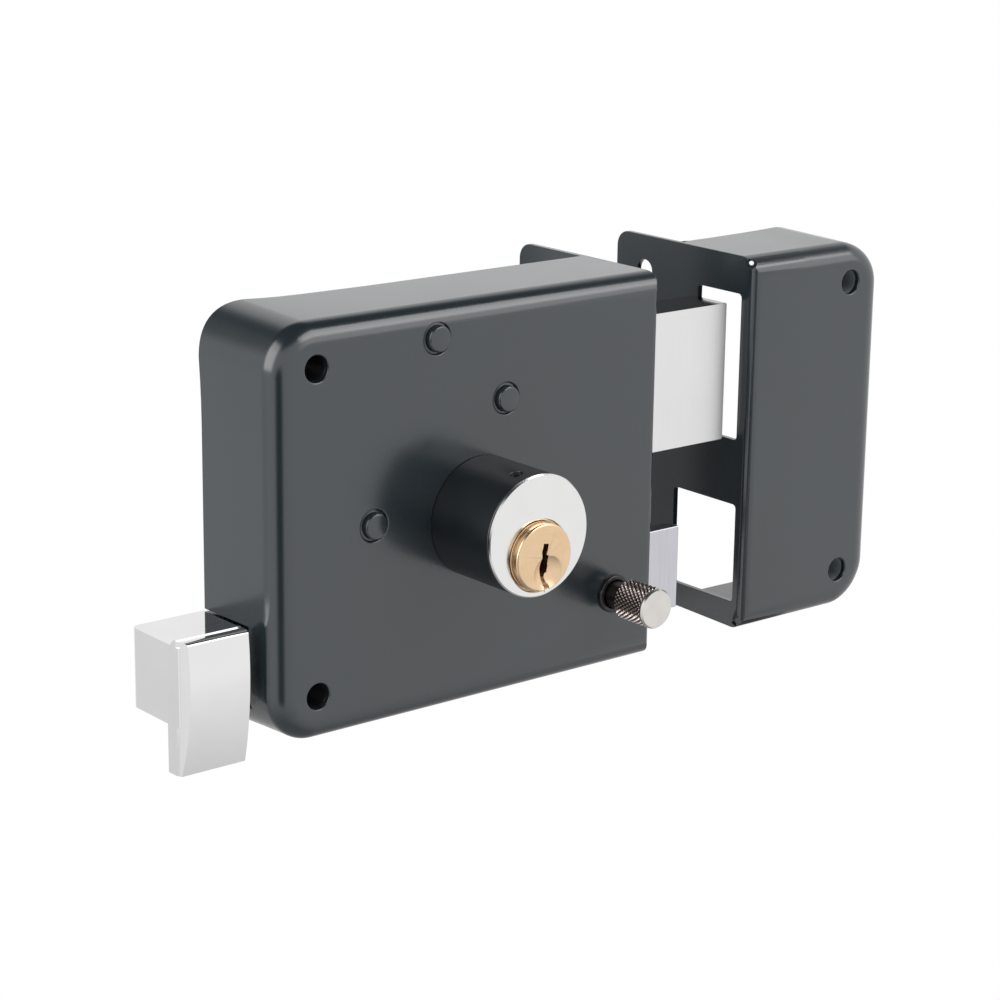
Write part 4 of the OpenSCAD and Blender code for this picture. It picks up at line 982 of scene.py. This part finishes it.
bpy.ops.object.select_all(action="DESELECT")
bpy.ops.mesh.primitive_plane_add(size=40, location=(0, 0, -0.3))
floor = bpy.context.object
floor.name = "floor"
white_floor = bpy.data.materials.new("white_floor")
white_floor.use_nodes = True
tree = white_floor.node_tree
shader = tree.nodes["Principled BSDF"]
shader.inputs["Base Color"].default_value = (0.8, 0.8, 0.8, 1)
shader.inputs["Roughness"].default_value = 0.9
spot = add_node(tree, "TexCoord").outputs["Object"]
far = add_node(tree, "VectorMath", {0: spot}, operation="LENGTH")
fade = add_node(tree, "MapRange", {
    "Value": far.outputs["Value"], "From Min": 0.02, "From Max": 0.32},
    interpolation_type="SMOOTHSTEP")
share = add_node(tree, "Math", {0: fade.outputs[0], 1: studio_rays(tree)}, operation="MULTIPLY")
glow = add_node(tree, "Emission", {"Color": (1, 1, 1, 1), "Strength": 1.0})
mixed = add_node(tree, "MixShader", {0: share.outputs[0], 1: shader.outputs[0],
                                     2: glow.outputs[0]})
tree.links.new(mixed.outputs[0], tree.nodes["Material Output"].inputs["Surface"])
floor.data.materials.append(white_floor)
floor.visible_glossy = False
print("a floor of", floor.dimensions[0], "m")


# %% Room
def way(azimuth, elevation):
    """A direction by its turn from straight behind the lock and its height, in degrees."""
    a, e = math.radians(azimuth), math.radians(elevation)
    return Vector((math.sin(a) * math.cos(e), math.cos(a) * math.cos(e), math.sin(e)))


# brightness by height, from 0 straight below to 1 straight above
LEVELS = [(0.07, 0.35), (0.16, 0.72), (0.25, 0.85), (0.35, 1.0), (0.5, 1.0), (0.79, 0.95),
          (0.855, 0.12), (0.87, 0.03)]
# turn and height of a darker zone, where it starts and ends around them, what it leaves
DARK_ZONES = [(-139, -14, 6, 23, 0.0), (-20, 32, 12, 32, 0.25), (-44, -14, 12, 40, 0.8)]
world = bpy.data.worlds.new("studio")
bpy.context.scene.world = world
world.use_nodes = True
tree = world.node_tree
tree.nodes.clear()
look = add_node(tree, "TexCoord").outputs["Generated"]
height = add_node(tree, "SeparateXYZ", {0: look})
upright = add_node(tree, "MapRange", {
    "Value": height.outputs[2], "From Min": -1.0, "From Max": 1.0})
shades = add_node(tree, "ValToRGB", {0: upright.outputs[0]})
stops = shades.color_ramp.elements
for stop, (at, tone) in zip(stops, (LEVELS[0], LEVELS[-1])):
    stop.position, stop.color = at, (tone, tone, tone, 1)
for at, tone in LEVELS[1:-1]:
    stops.new(at).color = (tone, tone, tone, 1)
level = shades.outputs[0]
for azimuth, elevation, inner, outer, left_over in DARK_ZONES:
    closeness = add_node(tree, "VectorMath", {0: look, 1: way(azimuth, elevation)},
                         operation="DOT_PRODUCT")
    open_part = add_node(tree, "MapRange", {
        "Value": closeness.outputs["Value"], "From Min": math.cos(math.radians(outer)),
        "From Max": math.cos(math.radians(inner)), "To Min": 1.0, "To Max": left_over},
        interpolation_type="SMOOTHSTEP")
    level = add_node(tree, "Math", {0: level, 1: open_part.outputs[0]},
                     operation="MULTIPLY").outputs[0]
camera_ray = add_node(tree, "LightPath").outputs["Is Camera Ray"]
mirrored = add_node(tree, "Mix", {0: camera_ray, 2: level, 3: 1.0})
shown = add_node(tree, "Mix", {0: studio_rays(tree), 2: 0.5, 3: mirrored.outputs[0]})
sky = add_node(tree, "Background", {"Color": (1, 1, 1, 1), "Strength": shown.outputs[0]})
tree.links.new(sky.outputs[0], tree.nodes.new("ShaderNodeOutputWorld").inputs[0])
print(len(stops), "levels of brightness and", len(DARK_ZONES), "darker zones")


# %% [markdown]
# Four flat lamps light the lock. Two at the front right fill the fronts, a broad one on the
# left lights the walls and the left edges, and a low strip behind lifts the top faces.

# %% Lamps
def softbox(name, direction, distance, size, level):
    """A flat lamp that faces the lock. Its level is how bright it looks, where white is 1."""
    lamp = bpy.data.objects.new(name, bpy.data.lights.new(name, "AREA"))
    bpy.context.collection.objects.link(lamp)
    lamp.data.shape = "RECTANGLE"
    lamp.data.size, lamp.data.size_y = size
    lamp.data.energy = level * math.pi * size[0] * size[1]
    lamp.location = direction * distance
    lamp.rotation_euler = (-direction).to_track_quat("-Z", "Y").to_euler()
    lamp.visible_camera = False
    print(name, "at", round(lamp.data.energy, 2), "W")


softbox("front right lamp", way(140, 43), 1.4, (1.1, 0.62), 3.0)
softbox("low right lamp", way(140, 19), 1.45, (1.1, 0.55), 0.95)
softbox("back lamp", way(42, 9), 1.3, (0.9, 0.17), 0.3)
softbox("left lamp", way(-82, 28), 1.3, (1.2, 1.35), 2.5)
bpy.context.scene.view_settings.view_transform = "Standard"

# %% [markdown]
# A small dark card stands behind the gap between the case and the strike. Only gloss shows
# it, and it gives the polished top of the deadbolt something dark to mirror.

# %% The dark card
bpy.ops.object.select_all(action="DESELECT")
bpy.ops.mesh.primitive_plane_add(size=1, location=place(-22, 95, 30),
                                 rotation=(math.radians(90), 0, 0))
card = bpy.context.object
card.name = "dark card"
card.scale = (0.046, 0.115, 1)
card_grey = bpy.data.materials.new("card_grey")
card_grey.use_nodes = True
card_sockets = card_grey.node_tree.nodes["Principled BSDF"].inputs
card_sockets["Base Color"].default_value = (0.02, 0.02, 0.02, 1)
card_sockets["Emission Color"].default_value = (1, 1, 1, 1)
card_sockets["Emission Strength"].default_value = 0.3
card.data.materials.append(card_grey)
card.visible_camera = card.visible_diffuse = card.visible_shadow = False
print("the card is", card.scale[0], "by", card.scale[1], "m")
